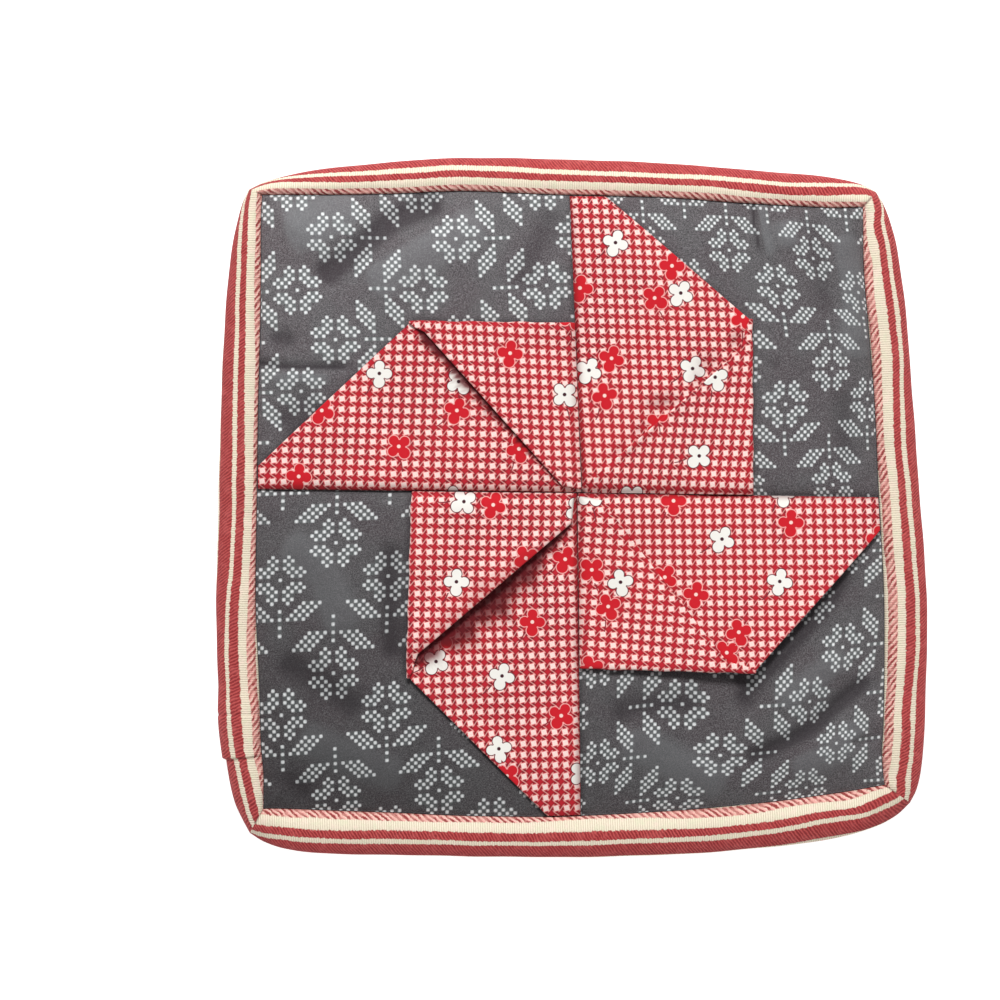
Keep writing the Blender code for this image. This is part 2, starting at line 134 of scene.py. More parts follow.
# The small check on each leaf: where one of its dark stars is, and how far
# and in which direction, in degrees, the next to the right and the next above.
CHECK = {
    ("top_left", "lower"): (-58.23, 17.29, 3.11, -1.5, 2.99, 87.4),
    ("top_left", "upper"): (-12.74, 42.95, 2.95, -3.0, 2.86, 92.5),
    ("top_right", "lower"): (17.80, 62.61, 2.86, -1.8, 2.84, 93.0),
    ("top_right", "upper"): (37.43, 23.21, 2.75, -2.0, 3.00, 83.5),
    ("bottom_right", "lower"): (54.47, -13.99, 2.86, 0.0, 2.89, 91.0),
    ("bottom_right", "upper"): (19.64, -35.29, 3.13, -4.7, 2.92, 86.0),
    ("bottom_left", "lower"): (-15.49, -65.44, 2.98, 1.5, 3.12, 91.5),
    ("bottom_left", "upper"): (-35.97, -8.24, 3.01, -1.2, 2.95, 88.3),
}
# Small flowers strewn over the check: x, y, kind, turn in degrees.
BLOOMS = {
    ("top_left", "lower"): (
        (-54.8, 38.1, "white", -2), (-32.3, 35.8, "white", 35), (-71.1, 27.6, "red", -26),
        (-32.8, 27.6, "red", -20), (-49.3, 17.4, "red", 40), (-77.7, 8.9, "red", -6),
        (-15.2, 16.7, "red", 12), (-33.9, 2.6, "white", 0)),
    ("top_left", "upper"): (
        (-17.7, 43.8, "red", -8), (-2.3, 32.1, "white", 43), (-0.3, 54.1, "red", 30)),
    ("top_right", "lower"): (
        (12.2, 75.2, "white", -18), (28.2, 68.6, "red", -4), (30.7, 60.9, "white", -30),
        (23.3, 59.5, "red", 54), (2.2, 62.4, "red", -8), (11.1, 42.4, "red", -17),
        (4.7, 39.0, "white", -26), (9.1, 31.8, "red", 12), (34.1, 39.5, "white", -25),
        (48.3, 54.2, "red", 30), (24.2, 23.5, "red", 45)),
    ("top_right", "upper"): (
        (40.4, 37.0, "white", 20), (16.9, 3.1, "white", 45), (35.9, 14.7, "white", -43), (23.9, 27.9, "red", 39)),
    ("bottom_right", "lower"): (
        (28.7, 1.9, "red", 0), (59.9, 4.1, "white", 0), (62.0, -4.2, "red", -3),
        (42.4, -8.9, "white", -26), (58.7, -20.9, "white", -12), (87.0, -8.8, "red", 0),
        (35.0, -24.6, "red", -8), (47.0, -35.2, "red", 15), (43.6, -41.0, "red", 38),
        (26.2, -19.7, "red", -33)),
    ("bottom_right", "upper"): (
        (4.9, 3.8, "white", 45), (5.5, -17.6, "red", 46), (13.6, -21.1, "white", 11), (10.1, -28.0, "red", 23),
        (5.2, -45.5, "red", 20)),
    ("bottom_left", "lower"): (
        (-38.7, -43.6, "white", -32), (-36.6, -36.0, "red", 20), (-20.0, -47.7, "white", -15),
        (-20.9, -68.4, "white", 11), (-11.4, -32.4, "red", -2), (-3.2, -59.0, "red", -30),
        (-18.6, -76.1, "red", 45), (-2.1, -14.6, "red", -20), (2.6, -75.6, "white", 45)),
    ("bottom_left", "upper"): (
        (1.5, -0.6, "white", 30), (-30.8, 1.7, "white", -57), (-22.5, 0.8, "red", -21), (-32.9, -21.0, "white", -2),
        (-13.2, -14.3, "red", 30)),
}
# Where the print's blooms lie on each square: x, y, column and place in it.
# The stems of every other column point the other way, and that column is
# shifted: it is counted from half a column further.
PRINT = {
    "top_left": (
        (-68.5, 77.0, 0.0, 0), (-33.1, 76.3, 0.0, -1), (-67.3, 47.8, 1.0, 0),
        (-78.2, 61.8, 0.5, 0), (-42.2, 62.0, 0.5, -1), (-7.3, 63.2, 0.5, -2),
        (-77.1, 33.1, 1.5, 0),
    ),
    "bottom_left": (
        (-67.1, -10.0, 0.0, 0), (-67.9, -47.0, 0.0, 1), (-67.1, -83.3, 0.0, 2),
        (-37.9, -80.4, 1.0, 2), (-83.1, -20.6, -0.5, 0), (-82.8, -59.1, -0.5, 1),
        (-52.4, -19.4, 0.5, 0), (-52.9, -56.7, 0.5, 1),
    ),
    "bottom_right": (
        (76.8, -39.6, 0.0, -2), (7.3, -72.7, 1.0, 0), (42.1, -70.8, 1.0, -1),
        (74.6, -67.0, 1.0, -2), (31.2, -55.6, 0.5, -1), (67.6, -55.0, 0.5, -2),
        (29.8, -82.4, 1.5, -1), (66.8, -79.5, 1.5, -2),
    ),
    "top_right": (
        (44.6, 73.2, 0.0, 0), (68.6, 70.8, 1.0, 0), (74.6, 39.6, 1.0, 1), (74.2, 6.5, 1.0, 2),
        (58.2, 63.2, 0.5, 0), (60.2, 29.3, 0.5, 1), (81.2, 61.2, 1.5, 0), (83.7, 31.0, 1.5, 1),
    ),
}
COLUMN_CELLS, ROW_CELLS = 27, 33

# Creases and soft folds of the grey squares: depth (up is positive), half
# width on each side, and the line that each follows.
FOLDS = (
    {"deep": -1.9, "wide": 1.05, "line": ((-89.0, 41.1), (-82.0, 40.1), (-77.6, 39.8), (-70.0, 39.9), (-61.0, 40.5))},
    {"deep": 0.85, "wide": 2.4, "line": ((-89.0, 38.0), (-76.0, 36.8), (-66.0, 37.2))},
    {"deep": -1.32, "wide": 2.6, "line": ((-88.0, 48.4), (-82.0, 48.0), (-77.0, 47.0))},
    {"deep": -2.02, "wide": 4.3, "line": ((-74.0, 63.0), (-70.7, 66.3), (-57.6, 76.6), (-49.9, 83.1), (-34.2, 87.7))},
    {"deep": 1.55, "wide": 6.5, "line": ((-84.0, 78.0), (-72.0, 81.0), (-60.0, 88.0))},
    {"deep": 1.40, "wide": 5.5, "line": ((-60.0, 62.0), (-42.0, 72.0), (-24.0, 83.0))},
    {"deep": -1.00, "wide": 5.0, "line": ((-18.0, 60.0), (-9.0, 76.0), (-4.0, 88.0))},
    {"deep": -1.08, "wide": 4.5, "line": ((-86.0, 22.0), (-78.0, 28.0), (-70.0, 32.0))},
    {"deep": -1.9, "wide": 0.85, "line": ((51.6, 86.0), (52.4, 78.0), (54.7, 69.0))},
    {"deep": 1.06, "wide": 1.7, "line": ((53.7, 86.0), (54.5, 78.0), (56.6, 69.0))},
    {"deep": -0.81, "wide": 1.0, "line": ((56.0, 41.2), (59.5, 38.7))},
    {"deep": -0.85, "wide": 4.5, "line": ((66.0, 84.0), (71.0, 68.0), (73.0, 52.0))},
    {"deep": 1.32, "wide": 4.5, "line": ((76.0, 80.0), (80.0, 62.0), (81.0, 40.0))},
    {"deep": -0.95, "wide": 4.0, "line": ((78.0, 36.0), (77.0, 20.0), (80.0, 9.0))},
    {"deep": 1.08, "wide": 4.0, "line": ((60.0, 84.0), (63.0, 72.0))},
    {"deep": -1.55, "wide": 2.5, "line": ((47.3, -72.8), (67.5, -63.9), (75.5, -55.9), (86.5, -47.4))},
    {"deep": -0.45, "wide": 6.5, "line": ((46.0, -70.0), (64.0, -62.0), (76.0, -52.0), (86.0, -44.0))},
    {"deep": 1.24, "wide": 4.5, "line": ((56.0, -57.0), (68.0, -50.0), (80.0, -40.0))},
    {"deep": 1.16, "wide": 4.5, "line": ((60.0, -76.0), (74.0, -70.0), (84.0, -60.0))},
    {"deep": -1.08, "wide": 3.0, "line": ((46.0, -52.0), (52.0, -58.0))},
    {"deep": -1.00, "wide": 1.3, "line": ((80.5, -67.0), (88.5, -65.0))},
    {"deep": 1.24, "wide": 5.5, "line": ((12.0, -64.0), (30.0, -73.0), (46.0, -80.0))},
    {"deep": -1.24, "wide": 4.5, "line": ((8.0, -60.0), (20.0, -56.0), (40.0, -56.0))},
    {"deep": -1.47, "wide": 3.6, "line": ((-51.5, -8.0), (-52.0, -22.0), (-51.5, -46.0))},
    {"deep": 1.24, "wide": 5.5, "line": ((-84.0, -8.0), (-70.0, -18.0), (-64.0, -38.0))},
    {"deep": -1.40, "wide": 5.0, "line": ((-86.0, -42.0), (-70.0, -50.0), (-58.0, -60.0))},
    {"deep": 1.24, "wide": 5.5, "line": ((-80.0, -64.0), (-60.0, -72.0), (-46.0, -78.0))},
    {"deep": -1.16, "wide": 4.0, "line": ((-84.0, -74.0), (-72.0, -84.0))},
)

# Stripes of the binding's cloth across one repeat.
STRIPES = (
    # cloth, where it begins, where it ends
    ("hatch", -0.8, 2.0), ("cream", 2.0, 4.5), ("red", 4.5, 6.8), ("cream", 6.8, 8.2),
    ("red", 8.2, 13.1), ("cream", 13.1, 14.5), ("red", 14.5, 16.8), ("cream", 16.8, 18.5),
)
# Where four of its stripes end, measured over the binding from its seam: the
# cloth isn't cut quite straight, so they wander along each side.
STRIPE_ENDS = {
    # side: rows of (share of the side, hatch, cream, red, cream)
    "top": ((0.00, 2.2, 4.6, 7.8, 9.4), (0.035, 2.1, 4.1, 7.0, 8.4), (0.08, 2.0, 3.6, 6.3, 7.6),
            (0.12, 1.9, 3.3, 6.0, 7.2), (0.18, 2.2, 3.6, 6.1, 7.4), (0.25, 2.5, 4.3, 6.3, 7.8),
            (0.32, 2.2, 4.0, 5.9, 7.3), (0.40, 1.9, 4.1, 6.0, 7.4), (0.50, 1.8, 4.2, 6.2, 7.7),
            (0.60, 2.1, 4.2, 6.2, 7.9), (0.68, 2.2, 4.4, 6.4, 8.1), (0.75, 2.0, 4.2, 6.0, 7.9),
            (0.85, 2.0, 3.9, 6.0, 7.4), (0.93, 2.3, 4.2, 5.6, 7.0), (1.00, 2.7, 4.7, 6.1, 7.4)),
    "left": ((0.00, 2.0, 4.2, 6.1, 7.5), (0.05, 1.9, 4.2, 6.0, 7.5), (0.12, 2.2, 4.4, 6.2, 7.6),
             (0.18, 2.0, 4.6, 6.5, 7.8), (0.25, 1.5, 4.5, 6.4, 7.7), (0.32, 1.3, 4.3, 6.3, 7.7),
             (0.40, 1.4, 4.0, 6.2, 7.6), (0.50, 1.4, 3.8, 6.3, 7.4), (0.60, 1.9, 4.2, 6.7, 7.9),
             (0.68, 2.7, 5.2, 8.1, 9.2), (0.75, 3.5, 5.7, 8.8, 10.2), (0.80, 3.6, 5.6, 9.0, 10.0),
             (0.85, 2.9, 5.4, 8.5, 9.7), (0.90, 2.8, 5.0, 7.7, 9.2), (0.93, 2.1, 4.5, 7.0, 8.5),
             (0.95, 1.5, 3.9, 6.4, 7.9), (0.965, 1.1, 3.4, 5.8, 7.3), (0.98, 0.4, 2.8, 5.5, 6.9),
             (1.00, 0.2, 2.3, 5.2, 7.0)),
    "bottom": ((0.00, 1.9, 5.4, 7.8, 9.5), (0.035, 2.5, 5.5, 7.9, 9.4), (0.05, 2.7, 5.7, 8.2, 9.7),
               (0.08, 2.3, 6.0, 8.4, 10.0), (0.12, 2.6, 5.9, 8.4, 9.8), (0.18, 2.6, 5.4, 7.9, 9.5),
               (0.25, 2.4, 5.1, 7.7, 9.1), (0.32, 2.0, 4.9, 7.5, 8.8), (0.40, 1.9, 5.0, 7.6, 8.7),
               (0.50, 1.2, 4.7, 7.5, 8.7), (0.60, 1.5, 5.1, 7.7, 9.0), (0.68, 2.6, 5.6, 8.0, 9.5),
               (0.75, 3.0, 5.9, 8.1, 9.8), (0.80, 2.8, 5.8, 8.0, 9.5), (0.85, 2.1, 5.3, 7.7, 9.0),
               (0.90, 2.3, 4.8, 6.9, 8.3), (0.93, 2.7, 5.1, 7.0, 8.4), (0.95, 2.4, 5.0, 7.2, 8.6),
               (0.965, 1.9, 4.3, 7.0, 8.2), (0.98, 1.4, 3.6, 6.2, 7.6), (1.00, 1.3, 3.1, 5.7, 7.3)),
    "right": ((0.00, 1.9, 4.2, 7.4, 9.3), (0.02, 1.8, 4.1, 6.9, 8.8), (0.035, 2.4, 4.8, 7.4, 8.8),
              (0.05, 3.0, 5.2, 8.0, 9.5), (0.08, 3.2, 5.5, 8.4, 9.5), (0.12, 3.1, 5.3, 7.9, 9.7),
              (0.18, 3.6, 5.9, 8.8, 10.0), (0.25, 4.0, 6.3, 9.4, 10.8), (0.32, 4.1, 6.3, 9.3, 10.8),
              (0.40, 3.6, 6.1, 8.6, 10.2), (0.50, 3.4, 5.9, 8.2, 10.0), (0.60, 2.4, 5.2, 7.3, 8.9),
              (0.68, 2.6, 5.7, 7.8, 9.2), (0.75, 3.1, 6.3, 8.5, 10.0), (0.80, 3.0, 6.0, 8.2, 10.0),
              (0.85, 2.7, 5.7, 8.0, 9.5), (0.90, 2.8, 5.3, 7.5, 9.0), (0.93, 1.7, 4.6, 6.8, 8.3),
              (0.95, 1.3, 3.7, 6.1, 7.4), (0.965, 1.2, 3.5, 5.9, 7.1), (0.98, 1.2, 4.0, 7.0, 8.1),
              (1.00, 1.0, 4.3, 8.2, 9.5)),
}
# The binding's two lengths are sewn together here, and the mitres are folded
# in at its corners: side, share, depth, half width, how far over the binding.
JOIN = {"side": "left", "at": 0.846, "deep": 0.22, "wide": 0.45}
MITRES = {
    "top": (0.85, 4.6), "right": (0.75, 5.0), "bottom": (0.75, 6.0), "left": (0.35, 2.6),
}


# ---------------------------------------------------------------- outline
def smooth(rows, column, at):
    """A row table read at any share, without passing its rows."""
    x = np.array([row[0] for row in rows], float)
    y = np.array([row[column] for row in rows], float)
    run, rise = np.diff(x), np.diff(y)
    slope = rise / run
    tangent = np.zeros_like(y)
    tangent[0], tangent[-1] = slope[0], slope[-1]
    for i in range(1, len(x) - 1):
        if slope[i - 1] * slope[i] > 0:
            w1, w2 = 2 * run[i] + run[i - 1], run[i] + 2 * run[i - 1]
            tangent[i] = (w1 + w2) / (w1 / slope[i - 1] + w2 / slope[i])
    at = np.asarray(at, float)
    k = np.clip(np.searchsorted(x, at, side="right") - 1, 0, len(x) - 2)
    s = (at - x[k]) / run[k]
    return ((2 * s**3 - 3 * s**2 + 1) * y[k] + (s**3 - 2 * s**2 + s) * run[k] * tangent[k]
            + (3 * s**2 - 2 * s**3) * y[k + 1] + (s**3 - s**2) * run[k] * tangent[k + 1])


def side_frame(side, first):
    """Start, end, direction and outward normal of a side's straight line."""
    a = np.array(CORNERS[SIDES[side]["from"]][first:first + 2])
    b = np.array(CORNERS[SIDES[side]["to"]][first:first + 2])
    along = (b - a) / np.linalg.norm(b - a)
    return a, b, along, np.array([along[1], -along[0]])


def edge_points(side, shares):
    """Points of the binding's seam at shares of a side, and the outline
    points that cuts there meet."""
    shares = np.atleast_1d(np.asarray(shares, float))
    found = []
    for first, column in ((0, 1), (2, 2)):
        a, b, along, out = side_frame(side, first)
        at = shares
        if found:
            square = (found[0] - a) @ along / np.linalg.norm(b - a)
            at = square + (shares - square) * np.abs(2 * shares - 1) ** MITRE_POWER
        bow = smooth(SIDES[side]["rows"], column, at)
        found.append(a + np.outer(at, b - a) + np.outer(bow, out))
    return found


def side_length(side):
    a, b, _, _ = side_frame(side, 0)
    return float(np.linalg.norm(b - a))


CROSS_ENDS = {side: edge_points(side, facts["cross_at"])[0][0] for side, facts in SIDES.items()}
SEAM_LINE = np.concatenate([edge_points(side, np.linspace(0, 1, 61)[:-1])[0] for side in ORDER])
SEAM_LENGTH = float(np.linalg.norm(np.roll(SEAM_LINE, -1, axis=0) - SEAM_LINE, axis=1).sum())


def from_line(points, line, closed=False):
    """How far points are from a line, and how far along it they are."""
    a = line if closed else line[:-1]
    b = np.roll(line, -1, axis=0) if closed else line[1:]
    run = b - a
    length = np.linalg.norm(run, axis=1)
    before = np.concatenate(([0.0], np.cumsum(length)[:-1]))
    square = np.maximum((run * run).sum(1), 1e-12)
    away, along = np.empty(len(points)), np.empty(len(points))
    for start in range(0, len(points), 4000):
        p = points[start:start + 4000, None, :]
        share = np.clip(((p - a) * run).sum(2) / square, 0, 1)
        gap = np.linalg.norm(a + run * share[..., None] - p, axis=2)
        best = gap.argmin(1)
        pick = np.arange(len(best))
        away[start:start + 4000] = gap[pick, best]
        along[start:start + 4000] = before[best] + share[pick, best] * length[best]
    return away, along


def waves(at, parts):
    """A sum of sines: rows of (length of a wave, height, start)."""
    return sum(high * np.sin(2 * math.pi * at / long + start) for long, high, start in parts)


def ease(x):
    x = np.clip(x, 0, 1)
    return x * x * (3 - 2 * x)


# ---------------------------------------------------------------- heights
def from_cross(points):
    away = np.full(len(points), 1e9)
    along = np.zeros(len(points))
    for end in CROSS_ENDS.values():
        gap, at = from_line(points, np.array([CENTRE, end]))
        near = gap < away
        away[near], along[near] = gap[near], at[near]
    return away, along


def front_parts(points):
    """Distance in from the binding's seam, along it, and from a cross seam."""
    rim_gap, rim_at = from_line(points, SEAM_LINE, closed=True)
    cross_gap, cross_at = from_cross(points)
    return rim_gap, rim_at, cross_gap, cross_at


def front_height(points, parts=None):
    """The padded front: it rises from the binding's seam to its crown, with
    troughs along the seams between the squares, and lies a little uneven."""
    rim_gap, _, cross_gap, _ = parts or front_parts(points)
    rim = np.minimum(1.0, rim_gap / RIM_RUN)
    rise = 1 - (1 - rim) ** 2.4
    ditch = np.maximum(0.0, 1 - cross_gap / DITCH_RUN) ** 2
    x, y = points[:, 0], points[:, 1]
    uneven = (0.24 * np.sin(x / 9.5 + 0.6 * np.sin(y / 15.0)) * np.sin(y / 11.0 + 1.1)
              + 0.16 * np.sin((x + y) / 7.1 + 0.7) * np.sin((x - y) / 12.3 + 2.0)
              + 0.13 * np.sin((x - 1.7 * y) / 6.3 + 0.4) * np.sin((x + 0.4 * y) / 5.1 + 1.3))
    return (SEAM_Z + (CROWN_Z - SEAM_Z) * rise
            - DITCH * ditch * np.minimum(1.0, 0.25 + rim * 1.2)
            + uneven * np.clip(rim * 1.5, 0, 1) * np.clip(cross_gap / 6.0, 0, 1))


def fold_relief(points):
    """The grey squares' creases and soft folds, fading out at their ends."""
    total = np.zeros(len(points))
    for fold in FOLDS:
        line = np.array(fold["line"], float)
        fine = [line[0]]
        for a, b in zip(line, line[1:]):
            fine += [a + (b - a) * t for t in np.linspace(0, 1, 7)[1:]]
        fine = np.array(fine)
        for _ in range(4):
            fine[1:-1] = (fine[:-2] + 2 * fine[1:-1] + fine[2:]) / 4
        near = ((points > fine.min(0) - 3.5 * fold["wide"]) & (points < fine.max(0) + 3.5 * fold["wide"])).all(1)
        if not near.any():
            continue
        gap, at = from_line(points[near], fine)
        length = np.linalg.norm(np.diff(fine, axis=0), axis=1).sum()
        run = min(0.35 * length, 6.0)
        ends = ease(at / run) * ease((length - at) / run) if fold["wide"] > 2 else ease((length - at) / run)
        total[near] += fold["deep"] * np.exp(-((gap / fold["wide"]) ** 2)) * ends
    return np.minimum(total, 0.30 + 0.30 * from_flaps(points))


def from_flaps(points):
    """How far points lie outside the flaps, and 0 under them."""
    away = np.full(len(points), 99.0)
    for facts in FLAPS.values():
        at = SIDES[facts["side"]]["cross_at"]
        base, slant = edge_points(facts["side"], (at, at - facts["caught"] / side_length(facts["side"])))[0]
        short = CROSS_ENDS[facts["seam"]] - CENTRE
        shape = np.array((base, slant, facts["tip"], CENTRE + short / np.linalg.norm(short) * facts["fold_at"],
                          CENTRE))
        run = np.roll(shape, -1, axis=0) - shape
        turn = np.stack([run[i, 0] * (points[:, 1] - shape[i, 1]) - run[i, 1] * (points[:, 0] - shape[i, 0])
                         for i in range(len(shape))])
        inside = (turn >= 0).all(0) | (turn <= 0).all(0)
        gap, _ = from_line(points, shape, closed=True)
        away = np.minimum(away, np.where(inside, 0.0, gap))
    return away


def front_detail(points, parts):
    """What the sewing does to the squares: they dip into their seams and
    pucker beside them."""
    rim_gap, rim_at, cross_gap, cross_at = parts
    dip = -0.25 * np.exp(-((rim_gap / 0.6) ** 2)) - 0.35 * np.exp(-((cross_gap / 0.8) ** 2))
    pucker = waves(rim_at, ((9.3, 0.15, 0.3), (6.1, 0.11, 1.9), (14.7, 0.16, 4.0)))
    pucker = pucker * np.exp(-((rim_gap / 5.5) ** 2)) * ease(rim_gap / 1.2)
    beside = waves(cross_at, ((8.1, 0.12, 1.0), (5.2, 0.08, 0.2), (12.9, 0.12, 3.0)))
    beside = beside * np.exp(-((cross_gap / 4.5) ** 2)) * ease(cross_gap / 1.0)
    return dip + pucker + beside


# ---------------------------------------------------------------- mesh tools
def graded(count, ends=0.6):
    """Cuts from 0 to 1 that lie closer together at both ends."""
    x = np.linspace(0, 1, count + 1)
    return x - ends * np.sin(2 * math.pi * x) / (2 * math.pi)


def coons(low, high, left, right):
    """Points that fill the space between four edges."""
    def share(line):
        run = np.concatenate(([0.0], np.cumsum(np.linalg.norm(np.diff(line, axis=0), axis=1))))
        return run / run[-1]
    u, v = share(low)[None, :, None], share(left)[:, None, None]
    return ((1 - v) * low[None] + v * high[None] + (1 - u) * left[:, None] + u * right[:, None]
            - (1 - u) * (1 - v) * low[0] - u * (1 - v) * low[-1]
            - (1 - u) * v * high[0] - u * v * high[-1])


def thing(name, vertices, faces, materials, smooth_shade=True):
    """A mesh object from points in millimetres and faces."""
    mesh = bpy.data.meshes.new(name)
    mesh.from_pydata([tuple(p) for p in np.asarray(vertices) * MM], [], [tuple(f) for f in faces])
    mesh.update()
    if smooth_shade:
        mesh.shade_smooth()
    for each in materials:
        mesh.materials.append(each)
    made = bpy.data.objects.new(name, mesh)
    bpy.context.scene.collection.objects.link(made)
    return made


def corner_points(mesh, values):
    """Values of the vertices, one for each face corner."""
    index = np.empty(len(mesh.loops), np.int32)
    mesh.loops.foreach_get("vertex_index", index)
    return np.asarray(values)[index]


def set_map(mesh, name, corners):
    layer = mesh.uv_layers.new(name=name, do_init=False)
    layer.data.foreach_set("uv", np.asarray(corners, np.float32).ravel())


def faces_of_corners(mesh):
    """For each face corner, the index of its face."""
    totals = np.empty(len(mesh.polygons), np.int32)
    mesh.polygons.foreach_get("loop_total", totals)
    return np.repeat(np.arange(len(totals)), totals)


def apply_modifiers(made):
    depth = bpy.context.evaluated_depsgraph_get()
    mesh = bpy.data.meshes.new_from_object(made.evaluated_get(depth), depsgraph=depth)
    made.modifiers.clear()
    made.data = mesh
    return made


# ---------------------------------------------------------------- materials
def linear(r, g, b):
    """A colour as the eye names it, 0 to 255, as light."""
    def one(c):
        c /= 255.0
        return c / 12.92 if c <= 0.04045 else ((c + 0.055) / 1.055) ** 2.4
    return (one(r), one(g), one(b), 1.0)


class Cloth:
    """A material and short ways to join its nodes."""

    def __init__(self, name, rough, sheen=0.0):
        self.material = bpy.data.materials.new(name)
        self.material.use_nodes = True
        self.tree = self.material.node_tree
        self.shader = self.tree.nodes["Principled BSDF"]
        self.shader.inputs["Roughness"].default_value = rough
        self.shader.inputs["Specular IOR Level"].default_value = 0.25
        if sheen:
            self.shader.inputs["Sheen Weight"].default_value = sheen
            self.shader.inputs["Sheen Roughness"].default_value = 0.6

    def put(self, socket, value):
        if isinstance(value, bpy.types.NodeSocket):
            self.tree.links.new(value, socket)
        else:
            socket.default_value = value

    def math(self, kind, a, b=None, c=None, clamp=False):
        node = self.tree.nodes.new("ShaderNodeMath")
        node.operation = kind
        node.use_clamp = clamp
        for i, value in enumerate((a, b, c)):
            if value is not None:
                self.put(node.inputs[i], value)
        return node.outputs[0]

    def add(self, a, b):
        return self.math("ADD", a, b)

    def sub(self, a, b):
        return self.math("SUBTRACT", a, b)

    def mul(self, a, b):
        return self.math("MULTIPLY", a, b)

    def most(self, *values):
        found = values[0]
        for value in values[1:]:
            found = self.math("MAXIMUM", found, value)
        return found

    def least(self, *values):
        found = values[0]
        for value in values[1:]:
            found = self.math("MINIMUM", found, value)
        return found

    def below(self, a, b):
        return self.math("LESS_THAN", a, b)

    def above(self, a, b):
        return self.math("GREATER_THAN", a, b)

    def within(self, a, low, high):
        return self.mul(self.above(a, low), self.below(a, high))

    def soft(self, value, start, end, low=0.0, high=1.0):
        node = self.tree.nodes.new("ShaderNodeMapRange")
        node.interpolation_type = "SMOOTHSTEP"
        self.put(node.inputs["Value"], value)
        for name, number in (("From Min", start), ("From Max", end), ("To Min", low), ("To Max", high)):
            self.put(node.inputs[name], number)
        return node.outputs["Result"]

    def map(self, name):
        node = self.tree.nodes.new("ShaderNodeUVMap")
        node.uv_map = name
        split = self.tree.nodes.new("ShaderNodeSeparateXYZ")
        self.tree.links.new(node.outputs["UV"], split.inputs[0])
        return split.outputs["X"], split.outputs["Y"]

    def split(self, vector):
        node = self.tree.nodes.new("ShaderNodeSeparateXYZ")
        self.tree.links.new(vector, node.inputs[0])
        return node.outputs["X"], node.outputs["Y"], node.outputs["Z"]

    def vector(self, x, y, z=0.0):
        node = self.tree.nodes.new("ShaderNodeCombineXYZ")
        for i, value in enumerate((x, y, z)):
            self.put(node.inputs[i], value)
        return node.outputs[0]

    def noise(self, vector, scale, detail=2.0, rough=0.5):
        node = self.tree.nodes.new("ShaderNodeTexNoise")
        self.put(node.inputs["Vector"], vector)
        node.inputs["Scale"].default_value = scale
        node.inputs["Detail"].default_value = detail
        node.inputs["Roughness"].default_value = rough
        return node.outputs[0]

    def place(self):
        """The piece's own coordinates, in metres."""
        node = self.tree.nodes.new("ShaderNodeTexCoord")
        return node.outputs["Object"]

    def mix(self, share, a, b, kind="MIX"):
        node = self.tree.nodes.new("ShaderNodeMix")
        node.data_type = "RGBA"
        node.blend_type = kind
        self.put(node.inputs[0], share)
        self.put(node.inputs[6], a)
        self.put(node.inputs[7], b)
        return node.outputs[2]

    def ramp(self, value, stops, kind="LINEAR"):
        node = self.tree.nodes.new("ShaderNodeValToRGB")
        node.color_ramp.interpolation = kind
        self.put(node.inputs[0], value)
        marks = node.color_ramp.elements
        marks[0].position, marks[0].color = stops[0]
        marks[1].position, marks[1].color = stops[-1]
        for at, colour in stops[1:-1]:
            marks.new(at).color = colour
        return node.outputs[0]

    def colour(self, value):
        self.put(self.shader.inputs["Base Color"], value)

    def bump(self, height, far, strength=1.0):
        node = self.tree.nodes.new("ShaderNodeBump")
        node.inputs["Strength"].default_value = strength
        node.inputs["Distance"].default_value = far
        self.put(node.inputs["Height"], height)
        self.tree.links.new(node.outputs[0], self.shader.inputs["Normal"])


